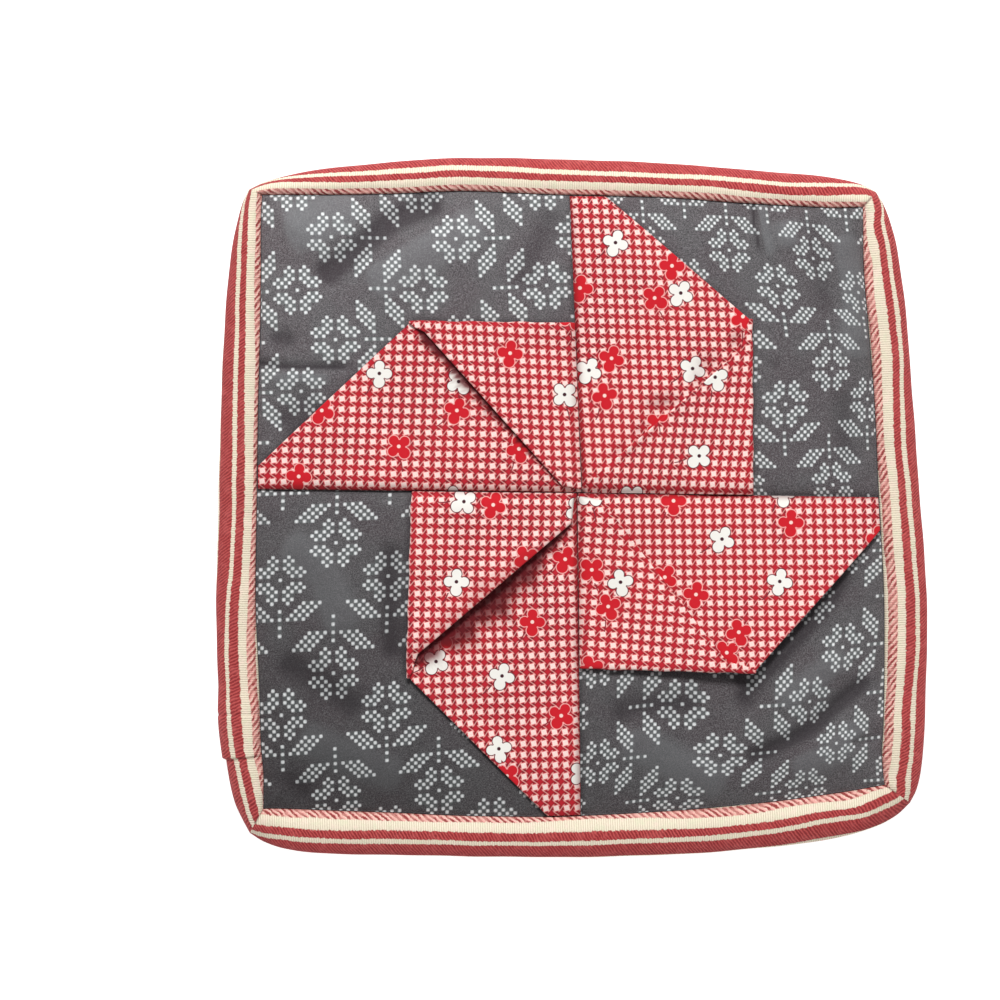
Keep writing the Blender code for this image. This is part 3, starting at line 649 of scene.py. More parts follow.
def printed_grey():
    """Dark grey cotton, printed with blooms of small round dots."""
    cloth = Cloth("printed_grey_cotton", 0.88, sheen=0.06)
    u, v = cloth.map("print")
    # tone map: painted shade in the folds' troughs and close under the flaps' edges, painted light on their ridges
    fold_shading, _ = cloth.map("tone")
    low, high = cloth.soft(fold_shading, -0.10, -1.7), cloth.soft(fold_shading, 0.10, 0.9)

    def motif(column, row, side):
        x = cloth.sub(u, column)
        x = cloth.sub(x, cloth.mul(cloth.math("ROUND", cloth.math("DIVIDE", x, COLUMN_CELLS)), COLUMN_CELLS))
        y = cloth.sub(v, row)
        y = cloth.sub(y, cloth.mul(cloth.math("ROUND", cloth.math("DIVIDE", y, ROW_CELLS)), ROW_CELLS))
        i, j = cloth.math("ROUND", x), cloth.math("ROUND", y)
        fx, fy = cloth.sub(x, i), cloth.sub(y, j)
        away = cloth.math("SQRT", cloth.add(cloth.mul(fx, fx), cloth.mul(fy, fy)))
        dot = cloth.soft(away, 0.76, 0.14)
        up = cloth.mul(j, -side)                       # towards the stem
        across = cloth.math("ABSOLUTE", i)
        tall = cloth.math("ABSOLUTE", j)
        even = cloth.below(cloth.math("PINGPONG", cloth.add(across, tall), 1.0), 0.5)
        total = cloth.add(across, tall)
        differ = cloth.math("ABSOLUTE", cloth.sub(across, tall))
        petal = cloth.mul(cloth.mul(cloth.above(across, 0.5), cloth.above(tall, 0.5)),
                          cloth.mul(cloth.within(total, 3.5, 8.5), cloth.below(differ, 4.5)))
        petal = cloth.mul(petal, cloth.below(cloth.mul(cloth.above(total, 7.5), cloth.below(differ, 0.5)), 0.5))
        middle = cloth.below(total, 0.5)
        stem = cloth.mul(cloth.below(across, 0.5), cloth.within(up, 7.5, 14.5))
        reach = cloth.add(across, up)
        leaf = cloth.mul(cloth.within(up, 5.5, 10.5), cloth.within(reach, 11.5, 16.5))
        leaf = cloth.mul(leaf, cloth.above(across, 0.5))
        part = cloth.most(petal, middle, stem, leaf)
        around.append(part)
        return cloth.mul(cloth.mul(dot, even), part)

    around = []
    dots = cloth.most(motif(0.0, 0.0, 1.0), motif(COLUMN_CELLS / 2, SHIFT_CELLS, -1.0))
    place = cloth.place()
    broad = cloth.noise(place, 75.0, 3.0)
    fine = cloth.noise(place, 2600.0, 2.0, 0.7)
    warp = cloth.tree.nodes.new("ShaderNodeTexWave")
    warp.wave_type, warp.bands_direction = "BANDS", "X"
    warp.inputs["Scale"].default_value = 0.9
    warp.inputs["Distortion"].default_value = 1.2
    cloth.put(warp.inputs["Vector"], cloth.vector(cloth.mul(u, 2.3), cloth.mul(v, 2.3)))
    weft = cloth.tree.nodes.new("ShaderNodeTexWave")
    weft.wave_type, weft.bands_direction = "BANDS", "Y"
    weft.inputs["Scale"].default_value = 0.9
    weft.inputs["Distortion"].default_value = 1.2
    cloth.put(weft.inputs["Vector"], cloth.vector(cloth.mul(u, 2.3), cloth.mul(v, 2.3)))
    weave = cloth.mul(cloth.add(warp.outputs["Fac"], weft.outputs["Fac"]), 0.5)
    ground = cloth.mix(cloth.soft(broad, 0.35, 0.65), linear(91, 83, 86), linear(97, 96, 97))
    thready = cloth.noise(place, 3600.0, 1.0, 0.5)
    ground = cloth.mix(cloth.soft(fine, 0.42, 0.66), ground, linear(126, 123, 125))
    ground = cloth.mix(cloth.mul(cloth.soft(thready, 0.52, 0.34), 0.75), ground, linear(50, 46, 50))
    ground = cloth.mix(cloth.mul(cloth.soft(weave, 0.60, 0.15), 0.45), ground, linear(58, 53, 57))
    ink = cloth.mix(cloth.soft(fine, 0.3, 0.7), linear(213, 216, 217), linear(244, 246, 246))
    # Painted shade: the dots are dimmed in the folds' troughs.
    ink = cloth.mix(cloth.mul(low, 0.45), ink, linear(120, 122, 124))
    haze = cloth.most(around[0], around[1])
    ground = cloth.mix(cloth.mul(haze, 0.40), ground, linear(112, 120, 119))
    # Painted shade in the troughs and under the flaps' edges, then a painted highlight on the ridges.
    ground = cloth.mix(cloth.mul(low, 0.72), ground, linear(50, 44, 48))
    ground = cloth.mix(cloth.mul(high, 0.40), ground, linear(122, 124, 126))
    # Painted light and shade: the grey is a little lighter or darker over the piece in a smooth gradient, its dots less
    # so.
    x, y, _ = cloth.split(place)
    tone = cloth.add(cloth.add(1.004, cloth.mul(x, 0.66)), cloth.add(cloth.mul(y, 3.11), cloth.mul(cloth.mul(x, y), -30.2)))
    ink_painted_shading = cloth.add(1.0, cloth.mul(cloth.sub(tone, 1.0), 0.35))
    ground = cloth.mix(1.0, ground, cloth.vector(tone, tone, tone), "MULTIPLY")
    ink = cloth.mix(1.0, ink, cloth.vector(ink_painted_shading, ink_painted_shading, ink_painted_shading), "MULTIPLY")
    cloth.colour(cloth.mix(dots, ground, ink))
    cloth.bump(cloth.add(weave, cloth.mul(fine, 0.6)), 0.00010, 0.6)
    return cloth.material


def plain_grey():
    """The same grey cotton without print, for the back and the rim."""
    cloth = Cloth("plain_grey_cotton", 0.9, sheen=0.06)
    place = cloth.place()
    broad = cloth.noise(place, 30.0, 3.0)
    fine = cloth.noise(place, 2600.0, 2.0, 0.7)
    weave = cloth.tree.nodes.new("ShaderNodeTexWave")
    weave.bands_direction = "X"
    weave.inputs["Scale"].default_value = 560.0
    weave.inputs["Distortion"].default_value = 1.5
    cloth.put(weave.inputs["Vector"], place)
    cross = cloth.tree.nodes.new("ShaderNodeTexWave")
    cross.bands_direction = "Y"
    cross.inputs["Scale"].default_value = 560.0
    cross.inputs["Distortion"].default_value = 1.5
    cloth.put(cross.inputs["Vector"], place)
    both = cloth.mul(cloth.add(weave.outputs["Fac"], cross.outputs["Fac"]), 0.5)
    ground = cloth.mix(cloth.soft(broad, 0.35, 0.65), linear(91, 87, 91), linear(93, 94, 97))
    ground = cloth.mix(cloth.soft(fine, 0.42, 0.66), ground, linear(113, 109, 112))
    ground = cloth.mix(cloth.mul(cloth.soft(both, 0.5, 0.2), 0.5), ground, linear(66, 61, 65))
    cloth.colour(ground)
    cloth.bump(cloth.add(both, cloth.mul(fine, 0.6)), 0.00010, 0.6)
    return cloth.material


def checked_red():
    """Red and white cotton in a small check of four-pointed stars, strewn
    with little four-petalled flowers."""
    cloth = Cloth("checked_red_cotton", 0.85, sheen=0.05)
    u, v = cloth.map("check")
    whole_u, whole_v = cloth.math("ROUND", u), cloth.math("ROUND", v)
    star_u, star_v = cloth.sub(u, whole_u), cloth.sub(v, whole_v)          # about a star
    box_u = cloth.sub(cloth.math("FRACT", u), 0.5)                         # about a white square
    box_v = cloth.sub(cloth.math("FRACT", v), 0.5)
    lean_u = cloth.add(box_u, cloth.mul(box_v, 0.20))
    lean_v = cloth.sub(box_v, cloth.mul(box_u, 0.20))
    square = cloth.most(cloth.math("ABSOLUTE", lean_u), cloth.math("ABSOLUTE", lean_v))
    white = cloth.soft(square, 0.302, 0.200)

    def line(across, beyond):
        """A thin slanting line: distance across it, and reach along it."""
        thick = cloth.mul(cloth.mul(beyond, beyond), 0.42)
        return cloth.mul(cloth.soft(cloth.sub(across, thick), 0.115, 0.040), cloth.soft(beyond, 0.34, 0.28))

    def bent(along):
        """The lines are bent like a flat S."""
        return cloth.mul(cloth.math("SINE", cloth.mul(along, 2 * math.pi / 0.55)), 0.056)

    fall = line(cloth.math("ABSOLUTE", cloth.add(cloth.add(box_u, cloth.mul(star_v, 0.92)), bent(star_v))),
                cloth.math("ABSOLUTE", star_v))
    rise = line(cloth.math("ABSOLUTE", cloth.add(cloth.sub(cloth.mul(star_u, 0.92), box_v), bent(star_u))),
                cloth.math("ABSOLUTE", star_u))
    pink = cloth.mul(cloth.most(fall, rise), 0.62)
    reach = cloth.add(cloth.math("ABSOLUTE", star_u), cloth.math("ABSOLUTE", star_v))
    place = cloth.place()
    fine = cloth.noise(place, 3000.0, 2.0, 0.7)
    broad = cloth.noise(place, 45.0, 2.0)
    red = cloth.mix(cloth.soft(reach, 0.14, 0.52), linear(188, 31, 46), linear(112, 22, 33))
    red = cloth.mix(cloth.mul(cloth.soft(broad, 0.4, 0.62), 0.3), red, linear(192, 28, 40))
    pale = cloth.mix(cloth.soft(fine, 0.35, 0.65), linear(246, 210, 204), linear(255, 229, 220))
    # The red bleeds into pink round the white squares.
    check = cloth.mix(cloth.mul(cloth.soft(square, 0.415, 0.215), 0.80), red, linear(252, 80, 88))
    check = cloth.mix(pink, check, linear(255, 184, 176))
    check = cloth.mix(white, check, pale)

    x, y = cloth.map("bloom")
    kind, _ = cloth.map("kind")
    ax, ay = cloth.math("ABSOLUTE", x), cloth.math("ABSOLUTE", y)
    far, near = cloth.most(ax, ay), cloth.least(ax, ay)
    largest = cloth.mul(cloth.above(ay, ax), cloth.below(y, 0.0))
    petal = cloth.math("SQRT", cloth.add(
        cloth.math("POWER", cloth.sub(far, cloth.add(2.20, cloth.mul(largest, 0.25))), 2.0),
        cloth.mul(near, near)))
    petal = cloth.sub(petal, cloth.add(1.36, cloth.mul(largest, 0.20)))
    middle = cloth.math("SQRT", cloth.add(cloth.mul(x, x), cloth.mul(y, y)))
    hub = cloth.sub(middle, 1.85)
    edge = cloth.least(petal, hub)
    is_red = cloth.above(kind, 0.75)
    is_any = cloth.above(kind, 0.25)
    # A short curved stalk beside each flower.
    sx = cloth.add(x, cloth.mul(cloth.math("POWER", cloth.add(y, 2.0), 2.0), 0.10))
    stalk = cloth.mul(cloth.soft(cloth.math("ABSOLUTE", cloth.add(sx, 2.1)), 0.26, 0.12),
                      cloth.mul(cloth.above(y, -6.2), cloth.below(y, -3.2)))
    fill = cloth.mix(is_red, linear(240, 237, 230), linear(204, 24, 38))
    line_colour = cloth.mix(is_red, linear(104, 34, 46), linear(240, 166, 162))
    dot_colour = cloth.mix(is_red, linear(64, 24, 36), linear(250, 214, 205))
    flower = cloth.mix(cloth.soft(edge, -0.02, 0.06), fill, line_colour)
    flower = cloth.mix(cloth.soft(middle, 0.62, 0.42), flower, dot_colour)
    shown = cloth.mul(cloth.most(cloth.soft(edge, 0.34, 0.22), 0.0), is_any)
    stalk_colour = cloth.mix(is_red, linear(120, 40, 50), linear(140, 36, 46))
    over = cloth.mix(cloth.mul(stalk, is_any), check, stalk_colour)
    colour = cloth.mix(shown, over, flower)
    # Painted shade: between the leaves, in its creases and along its seams the cloth is darkened, to a deep red where
    # the painted shade is deepest.
    shade, _ = cloth.map("shade")
    colour = cloth.mix(cloth.least(shade, 1.0), colour, cloth.vector(0.35, 0.17, 0.18), "MULTIPLY")
    cloth.colour(cloth.mix(cloth.mul(cloth.soft(shade, 0.55, 1.6), 0.85), colour, linear(80, 12, 22)))
    cloth.bump(fine, 0.00008, 0.5)
    return cloth.material


def striped():
    """Cotton ticking: red and cream stripes in a slanting twill."""
    cloth = Cloth("striped_ticking", 0.86, sheen=0.05)
    s, t = cloth.map("stripe")
    # deep: painted shade in the seam's fold, the mitres and the joining seam.
    deep, _ = cloth.map("deep")
    place = cloth.place()
    fine = cloth.noise(place, 2400.0, 2.0, 0.7)
    patchy = cloth.noise(place, 420.0, 2.0, 0.6)
    broad = cloth.noise(place, 70.0, 2.0)
    rag = cloth.mul(cloth.sub(cloth.noise(cloth.vector(cloth.mul(s, 1.5), cloth.mul(t, 1.0)), 1.0, 3.0), 0.5), 1.05)
    low = STRIPES[0][1]
    period = STRIPES[-1][2] - low
    across = cloth.math("WRAP", cloth.add(t, rag), low + period, low)
    share = cloth.math("DIVIDE", cloth.sub(across, low), period)
    black, bright = (0, 0, 0, 1), (1, 1, 1, 1)
    soft = 0.12 / period
    marks = {"red": [], "hatch": []}
    for kind, begin, end in STRIPES:
        for name in marks:
            here = bright if kind == name else black
            marks[name] += [((begin - low) / period + soft, here), ((end - low) / period - soft, here)]
    is_red = cloth.ramp(share, marks["red"])
    is_hatch = cloth.ramp(share, marks["hatch"])
    loose = cloth.mul(cloth.sub(fine, 0.5), 0.55)
    # Twill lines slant across the red, and ribs lie across the cream.
    slant = cloth.math("FRACT", cloth.add(cloth.math("DIVIDE", cloth.sub(s, cloth.mul(t, 0.6)), 0.95),
                                          cloth.add(loose, cloth.mul(patchy, 1.3))))
    red = cloth.ramp(slant, [(0.0, linear(132, 37, 42)), (0.30, linear(156, 48, 51)), (0.58, linear(207, 94, 91)),
                             (0.80, linear(190, 75, 73)), (1.0, linear(136, 40, 44))])
    red = cloth.mix(cloth.mul(cloth.soft(patchy, 0.45, 0.70), 0.35), red, linear(219, 108, 106))
    red = cloth.mix(cloth.mul(cloth.soft(broad, 0.35, 0.65), 0.25), red, linear(176, 54, 58))
    rib = cloth.math("SINE", cloth.mul(s, 2 * math.pi / 0.65))
    rib = cloth.soft(cloth.add(rib, cloth.mul(cloth.sub(fine, 0.5), 2.0)), -1.1, 0.5)
    cream = cloth.mix(rib, linear(227, 213, 188), linear(253, 241, 217))
    cream = cloth.mix(cloth.mul(cloth.soft(patchy, 0.52, 0.70), 0.5), cream, linear(234, 234, 202))
    cream = cloth.mix(cloth.mul(cloth.soft(patchy, 0.46, 0.32), 0.6), cream, linear(255, 232, 214))
    dash = cloth.math("FRACT", cloth.add(cloth.math("DIVIDE", cloth.sub(s, cloth.mul(t, 1.15)), 2.1),
                                         cloth.add(cloth.mul(loose, 0.8), cloth.mul(patchy, 1.1))))
    hatch = cloth.ramp(dash, [(0.0, linear(160, 72, 68)), (0.38, linear(156, 66, 64)), (0.50, linear(252, 180, 172)),
                              (0.74, linear(255, 200, 190)), (0.86, linear(252, 230, 208)), (1.0, linear(180, 96, 88))])
    hatch = cloth.mix(cloth.mul(cloth.soft(patchy, 0.42, 0.62), 0.55), hatch, linear(240, 176, 164))
    hatch = cloth.mix(cloth.mul(cloth.soft(t, 0.4, -0.5), 0.35), hatch, linear(150, 66, 60))
    colour = cloth.mix(is_red, cream, red)
    colour = cloth.mix(is_hatch, colour, hatch)
    # Painted shade, darkening toward a deep brown red.
    colour = cloth.mix(cloth.mul(cloth.soft(deep, 0.35, 1.0), 0.62), colour, linear(84, 34, 32))
    # Painted shade: the left and right lengths are a little darker.
    x, _, _ = cloth.split(place)
    colour = cloth.mix(cloth.mul(cloth.soft(cloth.math("ABSOLUTE", x), 0.080, 0.089), 0.10), colour,
                       linear(112, 58, 52))
    cloth.colour(colour)
    height = cloth.add(cloth.mul(slant, is_red), cloth.mul(rib, cloth.sub(1.0, is_red)))
    cloth.bump(cloth.add(height, cloth.mul(fine, 0.5)), 0.00012, 0.8)
    return cloth.material


# The shift between the two kinds of column, in cells along a column.
SHIFT_CELLS = 9.45
GREY = printed_grey()
PLAIN = plain_grey()
CHECKED = checked_red()
TICKING = striped()


# ---------------------------------------------------------------- the pad
HALF_CUTS = 100                                  # cuts along half a side


def ring_rows():
    """Cuts round the edge for the pad: side and shares, in order."""
    cuts = graded(HALF_CUTS, 0.4)
    rows = []
    for side in ORDER:
        middle = SIDES[side]["cross_at"]
        rows.append((side, np.concatenate((middle * (1 - cuts[::-1]), (middle + (1 - middle) * cuts[1:])[:-1]))))
    return rows


def section_frames(rows):
    """Seam point, direction out, width, mitre and height factor of each cut."""
    seam, outer, share = [], [], []
    for side, shares in rows:
        a, b = edge_points(side, shares)
        seam.append(a)
        outer.append(b)
        share.append(shares)
    seam, outer, share = np.concatenate(seam), np.concatenate(outer), np.concatenate(share)
    width = np.linalg.norm(outer - seam, axis=1)
    out = (outer - seam) / width[:, None]
    span = 180.0 * np.minimum(share, 1 - share)
    mitre = 1 + 0.4 * np.exp(-((span / 4.0) ** 2))
    low = 1 - 0.10 * np.exp(-((span / 9.0) ** 2))
    return seam, out, width, mitre, low


def offset(points, by):
    """A run of points moved to its right, along the middle of its two sides."""
    points = np.asarray(points, float)
    run = np.diff(points, axis=0)
    run /= np.maximum(np.linalg.norm(run, axis=1), 1e-9)[:, None]
    normal = np.stack((run[:, 1], -run[:, 0]), axis=1)
    before = np.concatenate((normal[:1], normal))
    after = np.concatenate((normal, normal[-1:]))
    middle = (before + after) / 2
    middle /= np.maximum((middle * middle).sum(1), 0.3)[:, None]
    return points + middle * by


def print_cells(blooms, points):
    """Where points lie in the print, in cells: an even lattice through the
    blooms of one square, pulled softly onto each of them."""
    table = np.array(blooms, float)
    place = table[:, :2]
    shifted = np.abs(table[:, 2] % 1.0 - 0.5) < 0.1
    cells = np.column_stack((COLUMN_CELLS * table[:, 2], ROW_CELLS * table[:, 3] + SHIFT_CELLS * shifted))
    ones = np.column_stack((place, np.ones(len(place))))
    even = np.linalg.lstsq(ones, cells, rcond=None)[0]
    rest = cells - ones @ even

    def pull(a, b):
        return np.exp(-((a[:, None] - b[None]) ** 2).sum(2) / (2 * 24.0 ** 2))

    weights = np.linalg.solve(pull(place, place) + 0.02 * np.eye(len(place)), rest)
    return np.column_stack((points, np.ones(len(points)))) @ even + pull(points, place) @ weights


def make_pad():
    rows = ring_rows()
    seam, out, width, mitre, low = section_frames(rows)
    count = len(seam)
    per_side = 2 * HALF_CUTS
    first_of = {side: i * per_side for i, side in enumerate(ORDER)}
    middle_of = {side: first_of[side] + HALF_CUTS for side in ORDER}

    vertices, faces, quarter, kind = [], [], [], []

    def ring(points):
        start = len(vertices)
        vertices.extend(points)
        return np.arange(start, start + len(points))

    def patches(edge_xy, edge_index, centre_xy, height, flip, material):
        """Four patches from the middle to a ring."""
        centre = ring([(*centre_xy, height(np.array([centre_xy]))[0])])[0]
        cuts = graded(HALF_CUTS, 0.4)
        spokes = {}
        for side in ORDER:
            end = edge_xy[middle_of[side]]
            xy = centre_xy + np.outer(cuts[1:-1], end - centre_xy)
            index = ring(np.column_stack((xy, height(xy))))
            spokes[side] = (np.vstack((centre_xy, xy, end)),
                            np.concatenate(([centre], index, [edge_index[middle_of[side]]])))
        for i, side in enumerate(ORDER):
            following = ORDER[(i + 1) % 4]
            along = (middle_of[side] + np.arange(HALF_CUTS + 1)) % count
            down = (middle_of[following] - np.arange(HALF_CUTS + 1)) % count
            low_xy, low_i = spokes[following]
            left_xy, left_i = spokes[side]
            high_xy, high_i = edge_xy[along], edge_index[along]
            right_xy, right_i = edge_xy[down], edge_index[down]
            grid_xy = coons(low_xy, high_xy, left_xy, right_xy)
            grid = np.empty((HALF_CUTS + 1, HALF_CUTS + 1), int)
            grid[0], grid[-1], grid[:, 0], grid[:, -1] = low_i, high_i, left_i, right_i
            inner = grid_xy[1:-1, 1:-1].reshape(-1, 2)
            grid[1:-1, 1:-1] = ring(np.column_stack((inner, height(inner)))).reshape(HALF_CUTS - 1, HALF_CUTS - 1)
            a, b, c, d = grid[:-1, :-1], grid[:-1, 1:], grid[1:, 1:], grid[1:, :-1]
            quads = np.stack((a, d, c, b) if flip else (a, b, c, d), axis=-1).reshape(-1, 4)
            faces.extend(quads.tolist())
            quarter.extend([i] * len(quads))
            kind.extend([material] * len(quads))

    def front(points):
        parts = front_parts(points)
        return front_height(points, parts) + front_detail(points, parts) + fold_relief(points)

    edge = seam - out * (0.12 * mitre)[:, None]
    edge_index = ring(np.column_stack((edge, np.full(count, SEAM_Z - 0.3))))
    top_edge = edge_index
    patches(edge, edge_index, CENTRE, front, False, 0)

    # The rim, from under the binding's front seam round to its back seam.
    previous = top_edge
    base = np.array(SKIN)
    sections = []
    for i in range(count):
        skin = np.column_stack((base[:, 0] * width[i], base[:, 1] * np.where(base[:, 1] > 4, low[i], 1)))
        inner = offset(skin, (STRIP + 0.75) * mitre[i])
        back = -0.30 * mitre[i]
        foot = skin[-1, 0] + back
        section = np.vstack(([back, 5.4], inner[1:-2], [foot, 2.1], [foot, 0.35]))
        sections.append(section)
    sections = np.array(sections)
    for k in range(sections.shape[1]):
        xy = seam + out * sections[:, k, 0][:, None]
        index = ring(np.column_stack((xy, sections[:, k, 1])))
        after = np.roll(np.arange(count), -1)
        quads = np.stack((previous, index, index[after], previous[after]), axis=-1)
        faces.extend(quads.tolist())
        quarter.extend([0] * len(quads))
        kind.extend([1] * len(quads))
        previous = index
    back_xy = xy

    def back_height(points):
        gap, at = from_line(points, back_xy[::5], closed=True)
        cross_gap, cross_at = from_cross(points)
        rise = 0.35 * np.exp(-((gap / 2.2) ** 2)) + 0.55 * np.exp(-((cross_gap / 1.6) ** 2))
        pucker = 0.10 * (1 + waves(at, ((9.0, 0.5, 0.0), (5.7, 0.4, 1.0)))) * np.exp(-((gap / 5.0) ** 2))
        beside = 0.10 * (1 + waves(cross_at, ((7.6, 0.5, 0.4), (12.0, 0.4, 2.0)))) * np.exp(-((cross_gap / 4.0) ** 2))
        return np.maximum(rise + pucker + beside, 0.0)

    patches(back_xy, previous, CENTRE, back_height, True, 1)
    pad = thing("quilted_pad", vertices, faces, [GREY, PLAIN])
    mesh = pad.data
    mesh.polygons.foreach_set("material_index", np.array(kind, np.int32))
    # The print lies square to each patch in its own direction.
    corner_xy = corner_points(mesh, np.array(vertices)[:, :2])
    of_face = faces_of_corners(mesh)
    corner_quarter = np.array(quarter)[of_face]
    uv = np.zeros((len(corner_xy), 2))
    names = {0: "top_left", 1: "bottom_left", 2: "bottom_right", 3: "top_right"}
    for i, name in names.items():
        here = corner_quarter == i
        uv[here] = print_cells(PRINT[name], corner_xy[here])
    set_map(mesh, "print", uv)
    # Painted shade: the print is darker in the folds' troughs and lighter on their ridges, and a painted shadow lies
    # close under the flaps' edges.
    fold_shading = fold_relief(corner_xy)
    beside = 1.1 * np.exp(-from_flaps(corner_xy) / 1.1)
    # Painted shadow beside the slanted edge of the lifted bottom-right flap.
    facts = FLAPS["bottom_right"]
    at = SIDES[facts["side"]]["cross_at"] - facts["caught"] / side_length(facts["side"])
    edge = np.array((edge_points(facts["side"], at)[0][0], facts["tip"]))
    gap, at = from_line(corner_xy, edge)
    share = at / np.linalg.norm(edge[1] - edge[0])
    beside = np.maximum(beside, 3.6 * np.exp(-((gap / 4.5) ** 2)) * ease((share - 0.05) / 0.55))
    set_map(mesh, "tone", np.column_stack((fold_shading - beside, np.zeros(len(fold_shading)))))
    mesh.update()
    return pad


# ---------------------------------------------------------------- the flaps
def make_flap(name, facts):
    """A square of cloth folded corner to corner into two layers, caught in two
    seams, with its far corner folded back to the middle."""
    tip = np.array(facts["tip"])
    side, cross_at = facts["side"], SIDES[facts["side"]]["cross_at"]
    base = edge_points(side, cross_at)[0][0]
    slant = edge_points(side, cross_at - facts["caught"] / side_length(side))[0][0]
    free_start, free_end = np.array(facts["free_edge"])
    middle = CENTRE + facts["shift"]
    fold_end = CENTRE + 0.15 * np.array(facts["shift"])
    short = CROSS_ENDS[facts["seam"]] - CENTRE
    fold_end = fold_end + short / np.linalg.norm(short) * facts["fold_at"]
    if side == "top":
        base = base - 0.7 * np.array(facts["shift"])
    short = fold_end - middle
    long_run = (base - middle) / np.linalg.norm(base - middle)
    short_run = short / np.linalg.norm(short)
    seam_gap = 0.14
    base = base - long_run * 0.40 + short_run * seam_gap
    slant = slant - long_run * 0.40
    corner = middle + seam_gap * (long_run + short_run)
    fold_end = fold_end + long_run * seam_gap
    tall = float(np.linalg.norm(fold_end - corner))
    cut = float(np.linalg.norm(slant - base)) / tall
    outward = (tip - slant) - long_run * np.dot(tip - slant, long_run)
    outward = outward / np.linalg.norm(outward)
    tip = tip + (slant - tip) * (INSET / abs(np.dot(slant - tip, outward)))
    free_start = free_start + (free_end - free_start) * (INSET / abs(np.dot(free_end - free_start, outward)))
    fold_end = fold_end - short_run * INSET
    tall = float(np.linalg.norm(fold_end - corner))
    cut = float(np.linalg.norm(slant - base)) / tall

    low_rows = graded(54, 0.55)
    low_rows = np.sort(np.append(low_rows[np.abs(low_rows - cut) > 0.006], cut))
    high_rows = (1 - graded(48, 0.3) * 0.985)[1:]
    turn_rows = np.linspace(0, math.pi, 10)[1:-1]
    cells = graded(50, 0.62)
    arc = np.linspace(-math.pi / 2, math.pi / 2, 9)[1:-1]
    bend = PLY * math.sqrt(2)
    # Across a row: the lower layer in to the edge, round it, and back out.
    columns = ([("flat", p, -PLY) for p in cells[::-1]]
               + [("edge", 1 - math.cos(a), PLY * math.sin(a)) for a in arc]
               + [("flat", p, PLY) for p in cells])
    flat_share = np.array([c[1] if c[0] == "flat" else 0.0 for c in columns])
    angle_at = np.array([math.pi / 2 if c[0] == "flat" and c[2] > 0 else -math.pi / 2 if c[0] == "flat"
                         else math.asin(c[2] / PLY) for c in columns])
    edge_share = np.array([c[1] if c[0] == "edge" else 1.0 for c in columns])
    level = np.array([c[2] for c in columns])

    def lifted(p):
        reach = np.clip(1 - np.linalg.norm(p - tip, axis=1) / 45.0, 0, 1)
        slope = slant - tip
        share = np.clip((p - tip) @ slope / np.dot(slope, slope), 0, 1)
        beside = np.linalg.norm(tip + slope * share[:, None] - p, axis=1)
        edge = np.clip(1 - beside / 16.0, 0, 1) * np.maximum(np.sin(math.pi * (0.15 + 0.85 * share)), 0) ** 0.7
        edge[share >= 1] = 0
        return facts["lift"] * np.maximum(reach ** 1.5, 0.75 * edge)

    def row(left, right, face):
        """Places across a row, how far they are from both its ends, and their
        places in the cloth laid flat, its shown face up."""
        length = float(np.linalg.norm(right - left))
        along = (right - left) / max(length, 1e-9)
        turned = min(bend, 0.4 * length)
        reach = edge_share * turned + flat_share * (length - turned)
        round_it = turned - PLY * (math.pi / 2 - face * angle_at)
        laid = np.where(face * angle_at > 1.5, reach, np.where(face * angle_at < -1.5, -reach, round_it))
        return left + reach[:, None] * along, length - reach, reach, left + laid[:, None] * along

    grid, leaf_of_row, cloth = [], [], []

    def close_in(to_side, to_seam, to_binding):
        """How far the layers are pressed together beside a seam."""
        near = np.minimum(np.minimum(to_side, to_seam), to_binding)
        return 1 - 0.42 * np.exp(-((near / 1.3) ** 2)), 0.40 * np.exp(-((near / 1.1) ** 2))

    wave_at = {"top_left": 0.4, "top_right": 1.7, "bottom_right": 3.1, "bottom_left": 5.0}[name]
    for q in low_rows:                                       # the lower leaf
        right = corner + (fold_end - corner) * q
        left = (base + (slant - base) * (q / cut) if q <= cut
                else slant + (tip - slant) * ((q - cut) / (1 - cut)))
        xy, to_side, from_left, laid = row(left, right, 1)
        to_binding = np.maximum(0.0, from_left) if q <= cut else np.full(len(xy), 99.0)
        press, sink = close_in(to_side, np.full(len(xy), q * tall), to_binding + 0.4)
        rest = front_height(xy) + LIE - sink + lifted(xy)
        z = rest + press * (PLY + LAYER / 2 + level)
        grid.append(np.column_stack((xy, z)))
        cloth.append(laid)
        leaf_of_row.append("lower")
    last_xy = grid[-1][:, :2].copy()
    right_gap = np.linalg.norm(last_xy - fold_end, axis=1)
    press, sink = close_in(right_gap, np.full(len(last_xy), 99.0), np.full(len(last_xy), 99.0))
    rest = front_height(last_xy) + LIE - sink + lifted(last_xy)
    ripple = 0.10 * waves(right_gap, ((13.0, 1.0, wave_at), (7.3, 0.6, 2 * wave_at)))
    for angle in turn_rows:                                  # over the fold
        xy = last_xy + outward * ((TURN - level) * math.sin(angle))[:, None]
        xy = xy + outward * (ripple * math.sin(angle))[:, None]
        z = rest + press * (PLY + LAYER / 2 + TURN - (TURN - level) * math.cos(angle))
        grid.append(np.column_stack((xy, z)))
        cloth.append(last_xy + outward * ((TURN - level) * (math.pi - angle))[:, None])
        leaf_of_row.append("upper")
    for q in high_rows:                                      # the upper leaf
        right = corner + (fold_end - corner) * q
        left = free_end + (free_start - free_end) * q + (tip - free_start) * ease((q - 0.955) / 0.045)
        xy, to_side, from_left, laid = row(left, right, -1)
        length = np.linalg.norm(right - left)
        to_long = np.abs((xy - CENTRE) @ np.array((-long_run[1], long_run[0])))
        press, sink = close_in(to_side, to_long, np.full(len(xy), 99.0))
        reach = from_left / max(length, 1e-6)
        swell = math.sin(math.pi * min(1.0, q)) ** 0.8
